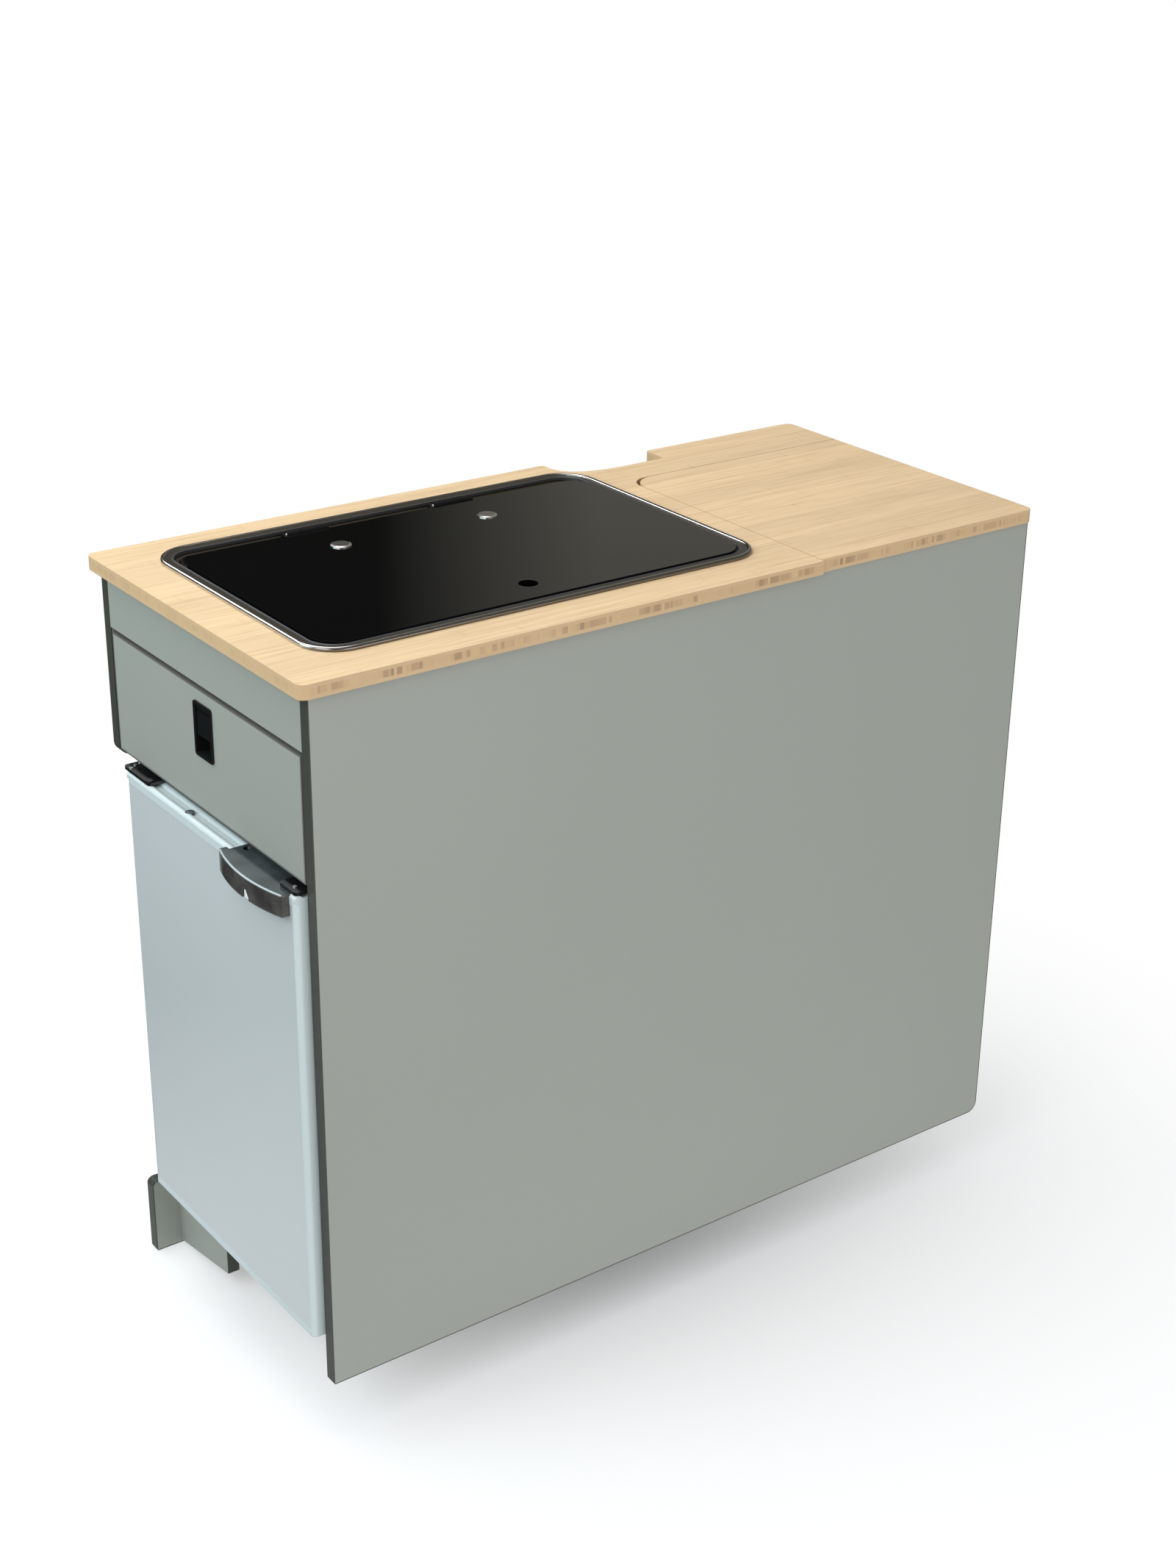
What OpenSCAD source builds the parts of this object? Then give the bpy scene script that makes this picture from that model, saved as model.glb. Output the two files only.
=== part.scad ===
// Campervan kitchen unit: a faced-ply carcass with a bamboo worktop, a sink and hob under a
// glass lid, a drawer over a built-in fridge, and a top-opening locker.
// Sizes are in millimetres. X runs along the unit from the fridge end, Y from the aisle side
// to the van wall, Z up. The origin is at the middle of the unit, on the level of its lowest foot.

/* [Carcass] */
// Length of the long side panels
body_l = 985; // [965:5:1080]
// Depth over both long side panels
body_d = 456; // [452:1:476]
// Height of the aisle side, from its foot to the underside of the worktop
body_h = 821; // [817:1:850]
// Thickness of the faced panels
panel_t = 15; // [13:0.5:16]
// Thickness of the charcoal edge band
edging_t = 1.2; // [0.8:0.1:2]
// Radius of the rounded panel corners at the locker end and above the fridge door
foot_r = 14; // [8:1:20]
// Radius of the small rounding at the front feet
front_r = 2.5; // [2:0.5:6]
// Radius of the corner on top of the wall foot
shin_r = 8; // [4:1:14]
// How far the wall side reaches below the aisle side
foot_drop = 77; // [60:1:90]
// Top of the base shelf above the aisle foot
base_top = 62; // [56:1:68]
// Depth of the clearance cut in the wall side beside the fridge door
cut_d = 42; // [36:1:60]
// Height of the wall foot's top, above the aisle foot
cut_low = 24; // [15:1:35]
// Distance of the panel between the fridge and the locker from the fridge end
divider_x = 589; // [584:1:610]
// Setback of the short board between the wall foot and the toe space
plinth_x = 35; // [30:1:50]
// Length of that short board
plinth_l = 124; // [80:1:160]
// Height of the fixed strip below the worktop
fascia_h = 64; // [58:1:70]
// Edge length of the square batten that the locker lid rests on
batten_w = 22; // [18:1:28]

/* [Worktop] */
// Thickness of the bamboo worktop
top_t = 16; // [15:0.5:18]
// Overhang of the worktop on the aisle side
over_front = 8; // [6:1:14]
// Overhang of the locker lid on the aisle side
lid_over_front = 3; // [1:1:5]
// Overhang at the fridge end
over_left = 12; // [8:1:16]
// Overhang at the locker end
over_right = 5; // [3:1:10]
// Overhang towards the van wall, left of the notch
over_rear = 11; // [8:1:15]
// How much less deep the worktop is right of the notch
rear_step = 19; // [15:1:25]
// Radius of the worktop's outer corners
top_r = 10; // [6:1:14]
// Distance of the pillar notch from the fridge end
notch_x = 604; // [596:1:612]
// Length of the pillar notch
notch_l = 146; // [120:1:160]
// Depth of the pillar notch
notch_d = 57; // [50:1:62]
// Length of the notch's curved run-in
notch_run = 86; // [60:1:100]
// Distance of the locker lid from the fridge end
lid_x = 654; // [648:1:660]
// Width of the worktop strip between the lid and the notch
rear_strip = 53; // [46:1:58]
// Radius of the lid's inner corner
lid_r = 34; // [28:1:40]
// Radius of the opening's inner corner
lid_open_r = 26; // [20:1:27]
// Joint gap around the lid
lid_gap = 1; // [0.8:0.1:1.5]

/* [Lid hinges] */
// Mid radius of the curved hinge links
link_r = 9.75; // [9.25:0.05:10.25]
// Thickness of the hinge links
link_t = 2.5; // [2:0.1:3]
// Width of the hinge links
link_w = 20; // [16:1:26]
// Size of the hinge cups along Y and Z
cup_s = 13; // [12.5:0.1:13.5]
// Wood left over the hinge cups
cup_cover = 1.8; // [1.4:0.1:1.9]
// Distance of the hinges from the lid's ends
lid_hinge_in = 60; // [50:5:90]

/* [Drawer] */
// Height of the drawer front
drawer_h = 141.5; // [135:0.5:160]
// Thickness of the drawer front's edge band
drawer_band_t = 2; // [1:0.1:2.5]
// Gap between the fixed strip and the drawer front
drawer_gap = 5; // [4:0.5:9]
// Side gap of the drawer front
drawer_side_gap = 3; // [2:0.5:4]
// Width taken by each drawer runner
runner_t = 13; // [12:0.5:14]
// Height of the runners
runner_h = 42; // [36:1:46]
// How much shorter the runners are than the drawer box
runner_short = 12; // [8:1:30]
// Wall of the runner rails
rail_t = 1.4; // [1.2:0.1:1.8]
// Thickness of the drawer's boards
board_t = 12; // [10:0.5:14]
// Thickness of the drawer's bottom
drawer_floor_t = 6; // [4:0.5:8]
// Height of the drawer's sides
drawer_box_h = 96; // [80:1:98]
// Clearance between the drawer box and the sink bowl behind it
drawer_to_bowl = 5.8; // [5:0.1:12]

/* [Drawer latch] */
// Width of the latch bezel
latch_w = 40; // [36:1:46]
// Height of the latch bezel
latch_h = 63; // [54:1:66]
// Distance of the latch from the middle of the drawer front, towards the aisle
latch_off = 3; // [0:1:30]
// Width of the bezel's border
latch_rim = 4; // [3:0.5:5]
// Depth of the latch housing
latch_d = 24; // [20:1:28]
// Height of the latch paddle
paddle_h = 34; // [30:1:38]
// Radius of the paddle's pin
paddle_pin_r = 1.5; // [1:0.1:2]

/* [Fridge] */
// Space left between the fridge and the wall side panel
fridge_space = 44; // [36:1:60]
// Depth of the fridge cabinet behind the door
fridge_d = 440; // [400:5:460]
// Thickness of the door
door_t = 32; // [30:1:34]
// How far the door stands in front of the side panels
door_out = 14; // [12:0.5:15]
// Thickness of the cabinet's insulated walls
fridge_wall = 35; // [30:1:40]
// Thickness of the cabinet's steel shell
shell_t = 1.5; // [1:0.1:2]
// Thickness of the plastic liner
liner_t = 2; // [1.5:0.1:3]
// Gap between the fridge and the aisle side panel
fridge_gap = 2; // [1.5:0.5:4]
// Radius of the door's hinge pins
pin_r = 3; // [2.5:0.1:3.5]
// Distance of the hinge pins from the door's hinge edge
pin_in = 12; // [11:0.5:15]
// Length of the handle
handle_l = 132.5; // [120:0.5:160]
// Distance of the handle from the door's free edge
handle_in = 11.5; // [8:0.5:14]
// How far the handle bulges in front of the door
handle_out = 19; // [16:0.5:22]
// How far the handle's ends stand in front of the door
handle_end = 8.8; // [7:0.1:11]
// Height of the handle's curtain
handle_h = 26; // [22:1:30]

/* [Sink and hob] */
// Length of the sink and hob
hob_l = 578; // [570:1:586]
// Distance of its rim from the outer face of the wall side panel
hob_rear = 32; // [28:1:40]
// Distance of its rim from the fridge end
hob_x = 40; // [34:1:44]
// Distance of its rim from the aisle side
hob_y = 46; // [40:1:50]
// Radius of the rim's outer corners
hob_r = 45; // [42:1:50]
// Width of the rim
rim_w = 15; // [13:0.5:17]
// Radius of the bright bead along the rim's outer edge
bead_r = 3; // [2.5:0.1:3.5]
// Height of the rim over the worktop
rim_h = 5; // [4:0.5:6]
// Thickness of the sheet steel
steel_t = 1.2; // [0.8:0.1:1.5]
// Depth of the hob well below the worktop's top
well_d = 42; // [40:1:44]
// Depth of the sink bowl below the hob well
bowl_d = 88; // [70:1:92]
// Length of the sink bowl
bowl_l = 225; // [200:1:230]
// Radius of the bowl's corners
bowl_r = 50; // [40:1:60]
// Thickness of the glass lid
glass_t = 4; // [3.5:0.1:4.5]
// Radius of the glass lid's corners
glass_r = 30; // [26:1:32]
// Radius of the finger hole in the glass
finger_r = 11; // [9:0.5:13]
// Radius of the large burner
burner_r = 34; // [30:1:38]
// Radius of the small burner
burner_small_r = 25; // [21:1:28]
// Radius of the hob knobs
knob_r = 17; // [14:0.5:19]
// Length of the tap's spout
spout_l = 150; // [120:1:160]

/* [Hidden] */
$fn = 48;
FINE = 96;

// Clearances
run_fit = 0.06;
move_gap = 0.3;
rail_gap = 0.4;
eps = 1;

// Colours
C_PANEL = [0.56, 0.61, 0.58];
C_EDGE = [0.2, 0.21, 0.21];
C_BAMBOO = [0.87, 0.75, 0.55];
C_PLY = [0.8, 0.68, 0.5];
C_STEEL = [0.75, 0.76, 0.77];
C_ZINC = [0.6, 0.61, 0.63];
C_BLACK = [0.08, 0.08, 0.09];
C_WHITE = [0.92, 0.94, 0.94];
C_DECOR = [0.74, 0.79, 0.8];
C_SMOKE = [0.28, 0.3, 0.31];
C_BRASS = [0.75, 0.6, 0.3];

// Heights of the drawer front and of the fridge door
drawer_z1 = body_h - fascia_h - drawer_gap;
drawer_z0 = drawer_z1 - drawer_h;
door_head = 10;
door_drop = 4;
door_z1 = drawer_z0 - door_head;
door_z0 = base_top - door_drop;
cut_drop = 10.5;
cut_high = drawer_z0 - cut_drop;

// Carcass levels and places
in_y0 = panel_t;
in_y1 = body_d - panel_t;
base_z0 = base_top - panel_t;
wall_l = divider_x + panel_t;
notch_y = body_d + over_rear - notch_d;
lid_y = notch_y - rear_strip;
locker_y1 = notch_y - panel_t;
end_x = body_l - panel_t;
base_front = 27;
shelf_front = panel_t + 2;

// Worktop places
top_z = body_h + top_t;
top_x0 = -over_left;
top_x1 = body_l + over_right;
top_y0 = -over_front;
top_y1 = body_d + over_rear;
rear_y = top_y1 - rear_step;
notch_x1 = notch_x + notch_l;
rest_gap = 0.2;
lid_z0 = body_h + rest_gap;
NOTCH_POWER = 0.83;
small_r = 5;

// Fridge places
door_x0 = -door_out;
door_x1 = door_x0 + door_t;
gasket_t = 4;
case_x0 = door_x1 + gasket_t;
case_x1 = case_x0 + fridge_d;
fridge_y0 = in_y0 + fridge_gap;
fridge_y1 = in_y1 - fridge_space;
fridge_w = fridge_y1 - fridge_y0;
case_in = 2;
case_y0 = fridge_y0 + case_in;
case_y1 = fridge_y1 - case_in;
case_head = 4.5;
case_z1 = door_z1 - case_head;
pin_x = door_x0 + 13;
pin_y = fridge_y1 - pin_in;
step_l = 172;
step_h = 190;
step_x = case_x1 - step_l;
step_z = base_top + step_h;
cab_y0 = case_y0 + fridge_wall;
cab_y1 = case_y1 - fridge_wall;
cab_z0 = base_top + 40;
cab_z1 = case_z1 - fridge_wall;
cab_x1 = case_x1 - fridge_wall;
cab_step_x = step_x - fridge_wall;
cab_step_z = step_z + fridge_wall;
plate_t = 3.5;
plate_gap = 0.5;
plate_z = door_z1 + plate_gap;
low_plate_z = door_z0 - plate_gap - plate_t;

// Drawer places
tray_clear = 6;
drawer_y0 = in_y0 + drawer_side_gap;
drawer_y1 = in_y1 - drawer_side_gap;
shelf_z0 = drawer_z0 - 1;
box_z0 = shelf_z0 + panel_t + 3;
box_z1 = box_z0 + drawer_box_h;
box_y0 = in_y0 + runner_t;
box_y1 = in_y1 - runner_t;
box_x1 = divider_x - 2 * tray_clear - bowl_l - steel_t - drawer_to_bowl;
runner_l = box_x1 - panel_t - runner_short;
runner_z0 = box_z0 + 22;
runner_x0 = panel_t + 3;

// Latch places
latch_y = (drawer_y0 + drawer_y1) / 2 - latch_off;
latch_z1 = drawer_z1 - 15;
latch_z0 = latch_z1 - latch_h;
latch_y0 = latch_y - latch_w / 2;
bezel_out = 2;
pocket_w = latch_w - 2 * latch_rim;
pocket_z0 = latch_z0 + latch_rim;
pocket_z1 = latch_z1 - latch_rim;
wall_latch = 2;
paddle_t = 4;
paddle_pin_x = 3;
paddle_pin_z = pocket_z1 - 4;
bolt_w = 10;
bolt_x0 = panel_t + 2;
bolt_x1 = latch_d - wall_latch - 0.5;

// Sink and hob places
hob_w = body_d - hob_rear - hob_y;
hob_y1 = hob_y + hob_w;
rec_x = hob_x + rim_w;
rec_y = hob_y + rim_w;
rec_l = hob_l - 2 * rim_w;
rec_w = hob_w - 2 * rim_w;
rec_r = hob_r - rim_w;
band_h = 2.8;
lip_r = 1.2;
seam = 0.3;
ledge_w = 5;
ledge_z = top_z - 2;
well_x = rec_x + ledge_w;
well_y = rec_y + ledge_w;
well_l = rec_l - 2 * ledge_w;
well_w = rec_w - 2 * ledge_w;
well_r = rec_r - ledge_w;
well_z = top_z - well_d;
bowl_x = divider_x - bowl_l - 2 * tray_clear;
bowl_front = 18;
bowl_rear = 70;
bowl_y = well_y + bowl_front;
bowl_w = well_w - bowl_front - bowl_rear;
bowl_z = well_z - bowl_d;
bowl_mx = bowl_x + bowl_l / 2;
bowl_my = bowl_y + bowl_w / 2;
drain_r = 26;
glass_gap = 2;
glass_x = rec_x + glass_gap;
glass_y = rec_y + glass_gap;
glass_l = rec_l - 2 * glass_gap;
glass_z = top_z + rim_h - glass_t;
glass_axis_y = hob_y1 - 33;
glass_axis_z = top_z + rim_h - 0.5;
barrel_r = 4;
glass_y1 = glass_axis_y - barrel_r - 1;
cap_y = glass_y1 - 61.5;
cap_x = [hob_x + 189.5, hob_x + 385];
finger_x = hob_x + 290.5;
finger_y = glass_y + 40;
arm_w = 22;
hinge_shift = 5;
arm_t = 2;
arm_z = glass_z - arm_t;
barrel_l = 54;
knuckle_l = 22;
hinge_pin_r = 1.5;
burner_a = [well_x + 82, well_y + well_w * 0.605];
burner_b = [well_x + 190, well_y + well_w * 0.265];
support_out = well_w * 0.11;
knob_a = [well_x + 38, well_y + 42];
knob_b = [well_x + 88, well_y + 42];
knob_h = 20;
shaft_r = 4;
valve_r = 9;
burner_h = 14;
burner_cap_h = 5;
mixer_r = 18;
mixer_h = 30;
bar_t = 4.5;
support_z = arm_z - 4.5;
tap_x = bowl_mx;
tap_y = well_y + well_w - 34;
tap_r = 13;
spout_r = 7;
tap_base_h = 16;
spout_h = 12;
pipe_r = 4;
waste_pipe_r = 12.5;
pipe_out = 10;
collar_over = 0.8;
tube_in = 0.5;
waste_tube_in = 1.5;
waste_wall = 2;
pipe_end_y = body_d + pipe_out;
elbow_r = 6;
gas_z = well_z - 23;
gas_pipe_x = knob_a[0] - 20;
water_z = gas_z;
water_x = tap_x + 30;
waste_z = bowl_z - 44;

// Whole unit
front_x = door_x0 - handle_out;
mid_x = (front_x + top_x1) / 2;
mid_y = (top_y0 + top_y1) / 2;

module placed() { translate([-mid_x, -mid_y, foot_drop]) children(); }

// Block between two corners
module block(a, b) { translate(a) cube(b - a); }

// Waste piece that rounds a corner at the origin
module nib(r) {
    difference() {
        translate([-eps, -eps]) square(r + eps);
        translate([r, r]) circle(r, $fn = FINE);
    }
}

// Rounded rectangle
module rrect(l, w, r) {
    translate([r, 0]) square([l - 2 * r, w]);
    translate([0, r]) square([l, w - 2 * r]);
    for (x = [r, l - r], y = [r, w - r]) translate([x, y]) circle(r, $fn = FINE);
}

// Rounded box with its lowest corner at the given point
module rbox(p, l, w, h, r) { translate(p) linear_extrude(h) rrect(l, w, r); }

// Upright plate drawn in X and Z, with its thickness from y0 to y0 + t
module long_plate(y0, t) { translate([0, y0 + t, 0]) rotate([90, 0, 0]) linear_extrude(t) children(); }

// Upright plate drawn in Y and Z, with its thickness from x0 to x0 + t
module cross_plate(x0, t) { translate([x0, 0, 0]) rotate([90, 0, 90]) linear_extrude(t) children(); }

// Cylinders along X, Y and Z from a point
module rod_x(p, l, r) { translate(p) rotate([0, 90, 0]) cylinder(h = l, r = r); }
module rod_y(p, l, r) { translate(p) rotate([-90, 0, 0]) cylinder(h = l, r = r); }
module rod_z(p, l, r) { translate(p) cylinder(h = l, r = r); }

// Both drawer runner sides: the drawing at the aisle side and its mirror image
module both_sides() {
    children();
    translate([0, in_y0 + in_y1, 0]) mirror([0, 1, 0]) children();
}

// Outline of the aisle side panel in X and Z, drawn in by e
module aisle_outline(e) {
    difference() {
        translate([e, e]) square([body_l - 2 * e, body_h - e]);
        translate([e, e]) nib(front_r - e);
        translate([body_l - e, e]) mirror([1, 0]) nib(foot_r - e);
    }
}

// Outline of the wall side panel in X and Z, drawn in by e at its banded edges
module wall_outline(e) {
    difference() {
        translate([e, e - foot_drop]) square([wall_l - e, body_h + foot_drop - e]);
        translate([-eps, cut_low - e]) square([cut_d + e + eps, cut_high - cut_low + 2 * e]);
        translate([e, cut_high + e]) nib(foot_r - e);
        translate([e, cut_low - e]) mirror([0, 1]) nib(shin_r - e);
        translate([e, e - foot_drop]) nib(front_r - e);
    }
}

// Holes in the wall side panel for the gas, water and waste pipes
module wall_pipe_holes() {
    rod_y([gas_pipe_x, in_y1 - eps, gas_z], panel_t + 2 * eps, pipe_r + 1);
    rod_y([water_x, in_y1 - eps, water_z], panel_t + 2 * eps, pipe_r + 1);
    rod_y([bowl_mx, in_y1 - eps, waste_z], panel_t + 2 * eps, waste_pipe_r + 1);
}

module aisle_side_panel() { color(C_PANEL) placed() long_plate(0, panel_t) aisle_outline(edging_t); }

module wall_side_panel() {
    color(C_PANEL) placed() difference() {
        long_plate(in_y1, panel_t) wall_outline(edging_t);
        wall_pipe_holes();
    }
}

// Line of the bottom edges from the aisle foot down to the wall foot
function sole_z(y) = -foot_drop * y / body_d;

module plinth_outline(e) {
    polygon([
        [in_y1 - plinth_l + e, sole_z(in_y1 - plinth_l) ],
        [in_y1, sole_z(in_y1)],
        [in_y1, base_z0],
        [in_y1 - plinth_l + e, base_z0]
    ]);
}

module carcass_edging() {
    color(C_EDGE) placed() {
        long_plate(0, panel_t) difference() {
            aisle_outline(0);
            aisle_outline(edging_t);
            translate([-eps, body_h]) square([body_l + 2 * eps, eps]);
        }
        long_plate(in_y1, panel_t) difference() {
            wall_outline(0);
            wall_outline(edging_t);
        }
        cross_plate(plinth_x, panel_t) difference() {
            plinth_outline(0);
            plinth_outline(edging_t);
        }
    }
}

// Panel between fridge and locker, with a cut-out below the tray
module divider_panel() {
    color(C_PANEL) placed() difference() {
        block([divider_x, in_y0, base_z0], [wall_l, in_y1, body_h]);
        block([divider_x - eps, rec_y - tray_clear, well_z - tray_clear],
            [wall_l + eps, rec_y + rec_w + tray_clear, body_h + eps]);
    }
}

module locker_back_panel() {
    color(C_PANEL) placed() block([wall_l, locker_y1, base_z0], [body_l, notch_y, body_h]);
}

module end_panel() { color(C_PANEL) placed() block([end_x, in_y0, base_z0], [body_l, locker_y1, body_h]); }

module base_shelf() { color(C_PANEL) placed() block([base_front, in_y0, base_z0], [divider_x, in_y1, base_top]); }

module locker_floor() { color(C_PANEL) placed() block([wall_l, in_y0, base_z0], [end_x, locker_y1, base_top]); }

module plinth_board() { color(C_PANEL) placed() cross_plate(plinth_x, panel_t) plinth_outline(edging_t); }

module drawer_shelf() {
    color(C_PANEL) placed() block([shelf_front, in_y0, shelf_z0], [divider_x, in_y1, shelf_z0 + panel_t]);
}

module fascia_strip() { color(C_PANEL) placed() block([0, in_y0, body_h - fascia_h], [panel_t, in_y1, body_h]); }

// Pillar notch: a curved run-in, a straight floor and a square end
module notch_outline() {
    depth = top_y1 - notch_y;
    polygon(concat(
        [[notch_x, top_y1 + eps]],
        [for (a = [0 : 7.5 : 90]) [
            notch_x + notch_run * (1 - pow(cos(a), NOTCH_POWER)),
            top_y1 - small_r * 2 - (depth - small_r * 2) * pow(sin(a), NOTCH_POWER)]],
        [[notch_x1, notch_y], [notch_x1, top_y1 + eps]]
    ));
}

// Opening of the locker lid, with its rounded inner corner
module lid_opening_outline() {
    difference() {
        translate([lid_x, top_y0 - eps]) square([top_x1 - lid_x + eps, lid_y - top_y0 + eps]);
        translate([lid_x, lid_y]) mirror([0, 1]) nib(lid_open_r);
    }
}

module worktop_outline() {
    difference() {
        translate([top_x0, top_y0]) square([top_x1 - top_x0, top_y1 - top_y0]);
        translate([notch_x1 - eps, rear_y]) square([top_x1 - notch_x1 + 2 * eps, rear_step + eps]);
        notch_outline();
        lid_opening_outline();
        translate([hob_x + rim_w - 3, hob_y + rim_w - 3]) rrect(rec_l + 6, rec_w + 6, rec_r + 3);
        translate([top_x0, top_y0]) nib(top_r);
        translate([top_x0, top_y1]) mirror([0, 1]) nib(top_r);
        translate([notch_x, top_y1]) mirror([1, 0]) mirror([0, 1]) nib(small_r);
        translate([top_x1, rear_y]) mirror([1, 0]) mirror([0, 1]) nib(top_r);
        translate([notch_x1, rear_y]) mirror([0, 1]) nib(small_r);
    }
}

// The two hinge places along X
lid_hinge_x = [lid_x + lid_hinge_in, top_x1 - lid_hinge_in - link_w];
cup_w = link_w + 8;
cup_z1 = top_z - cup_cover;
joint_y = lid_y - lid_gap / 2;

// Curved channel or link about the joint line, between two angles
module arc_band(x, w, r0, r1, a0, a1) {
    far = 40;
    steps = 6;
    translate([x, joint_y, top_z]) rotate([90, 0, 90]) linear_extrude(w) difference() {
        circle(r1, $fn = FINE);
        circle(r0, $fn = FINE);
        polygon(concat([[0, 0]], [for (i = [0 : steps]) far * [
            cos(a1 + (360 + a0 - a1) * i / steps), sin(a1 + (360 + a0 - a1) * i / steps)]]));
    }
}

link_a0 = 212;
link_a1 = 328;
link_r0 = link_r - link_t / 2;
link_r1 = link_r + link_t / 2;

module link_channel(x) {
    arc_band(x - 0.5, link_w + 1, link_r0 - move_gap, link_r1 + move_gap, link_a0 - 2, link_a1 + 2);
}

module worktop() {
    color(C_BAMBOO) placed() difference() {
        translate([0, 0, body_h]) linear_extrude(top_t) worktop_outline();
        for (x = lid_hinge_x) {
            block([x - 4, lid_y - eps, body_h - eps], [x - 4 + cup_w, lid_y + cup_s, cup_z1]);
        }
    }
}

module lid_outline() {
    difference() {
        translate([lid_x + lid_gap, -lid_over_front])
            square([top_x1 - lid_x - lid_gap, lid_y - lid_gap + lid_over_front]);
        translate([lid_x + lid_gap, lid_y - lid_gap]) mirror([0, 1]) nib(lid_r);
        translate([top_x1, -lid_over_front]) mirror([1, 0]) nib(top_r);
    }
}

module hatch_lid() {
    color(C_BAMBOO) placed() difference() {
        translate([0, 0, lid_z0]) linear_extrude(top_z - lid_z0) lid_outline();
        for (x = lid_hinge_x) {
            block([x - 4, lid_y - lid_gap - cup_s, lid_z0 - eps], [x - 4 + cup_w, lid_y, cup_z1]);
        }
    }
}

module hatch_hinge_fixed_cups() {
    color(C_ZINC) placed() for (x = lid_hinge_x) difference() {
        block([x - 4, lid_y, cup_z1 - cup_s], [x - 4 + cup_w, lid_y + cup_s, cup_z1]);
        link_channel(x);
    }
}

module hatch_hinge_lid_cups() {
    color(C_ZINC) placed() for (x = lid_hinge_x) difference() {
        block([x - 4, lid_y - lid_gap - cup_s, cup_z1 - cup_s], [x - 4 + cup_w, lid_y - lid_gap, cup_z1]);
        link_channel(x);
    }
}

module hatch_hinge_links() {
    color(C_STEEL) placed() for (x = lid_hinge_x) arc_band(x, link_w, link_r0, link_r1, link_a0, link_a1);
}

// Batten under the joint at the lid's left edge; the lid rests on it
module hatch_rest_batten() {
    color(C_PLY) placed() block([lid_x - batten_w / 2, in_y0, body_h - batten_w],
        [lid_x + batten_w / 2, locker_y1, body_h]);
}

bracket_s = 40;
bracket_t = 3;
bracket_w = 30;
bracket_hole_r = 3.5;
bracket_x = [divider_x * 0.2, divider_x * 0.8];

// Angle bracket with its upright leg on a panel face and its foot on the floor
module floor_bracket(x, y, z, dir) {
    s = dir * bracket_s;
    t = dir * bracket_t;
    lo = min(y, y + s);
    difference() {
        union() {
            block([x, lo, z], [x + bracket_w, lo + bracket_s, z + bracket_t]);
            block([x, min(y, y + t), z], [x + bracket_w, min(y, y + t) + bracket_t, z + bracket_s]);
        }
        rod_z([x + bracket_w / 2, y + s * 0.6, z - eps], bracket_t + 2 * eps, bracket_hole_r);
        rod_y([x + bracket_w / 2, min(y, y + t) - eps, z + bracket_s * 0.65], bracket_t + 2 * eps, 2.2);
    }
}

module floor_brackets() {
    color(C_ZINC) placed() for (x = bracket_x) {
        floor_bracket(x, in_y0, 0, 1);
        floor_bracket(x, in_y1, -foot_drop, -1);
    }
}

// Drawer front outline in Y and Z, drawn in by e
module drawer_front_outline(e) {
    translate([drawer_y0 + e, drawer_z0 + e]) square([drawer_y1 - drawer_y0 - 2 * e, drawer_h - 2 * e]);
}

module drawer_front() {
    color(C_PANEL) placed() difference() {
        cross_plate(0, panel_t) drawer_front_outline(drawer_band_t);
        block([-eps, latch_y - pocket_w / 2 - wall_latch, pocket_z0 - wall_latch],
            [panel_t + eps, latch_y + pocket_w / 2 + wall_latch, pocket_z1 + wall_latch]);
    }
}

module drawer_front_edging() {
    color(C_EDGE) placed() cross_plate(0, panel_t) difference() {
        drawer_front_outline(0);
        drawer_front_outline(drawer_band_t);
    }
}

module drawer_boards() {
    color(C_PLY) placed() {
        both_sides() block([panel_t, box_y0, box_z0], [box_x1, box_y0 + board_t, box_z1]);
        block([box_x1 - board_t, box_y0 + board_t, box_z0], [box_x1, box_y1 - board_t, box_z1]);
    }
}

module drawer_bottom() {
    color(C_PLY) placed() block([panel_t, box_y0 + board_t, box_z0],
        [box_x1 - board_t, box_y1 - board_t, box_z0 + drawer_floor_t]);
}

// Channel rail: a web at y0 with lips reaching to y1, between two heights
module channel_rail(y0, y1, z0, z1) {
    block([runner_x0, min(y0, y1), z0], [runner_x0 + runner_l, max(y0, y1), z0 + rail_t]);
    block([runner_x0, min(y0, y1), z1 - rail_t], [runner_x0 + runner_l, max(y0, y1), z1]);
    web = y0 < y1 ? y0 : y0 - rail_t;
    block([runner_x0, web, z0], [runner_x0 + runner_l, web + rail_t, z1]);
}

rail_step = rail_t + rail_gap;

module runner_fixed_rails() {
    color(C_ZINC) placed() both_sides()
        channel_rail(in_y0, in_y0 + runner_t * 0.6, runner_z0, runner_z0 + runner_h);
}

module runner_middle_rails() {
    color(C_STEEL) placed() both_sides()
        channel_rail(in_y0 + rail_step, in_y0 + runner_t * 0.8, runner_z0 + rail_step,
            runner_z0 + runner_h - rail_step);
}

module runner_drawer_rails() {
    color(C_STEEL) placed() both_sides()
        channel_rail(box_y0, in_y0 + 2 * rail_step + rail_gap, runner_z0 + 2 * rail_step,
            runner_z0 + runner_h - 2 * rail_step);
}

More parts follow.
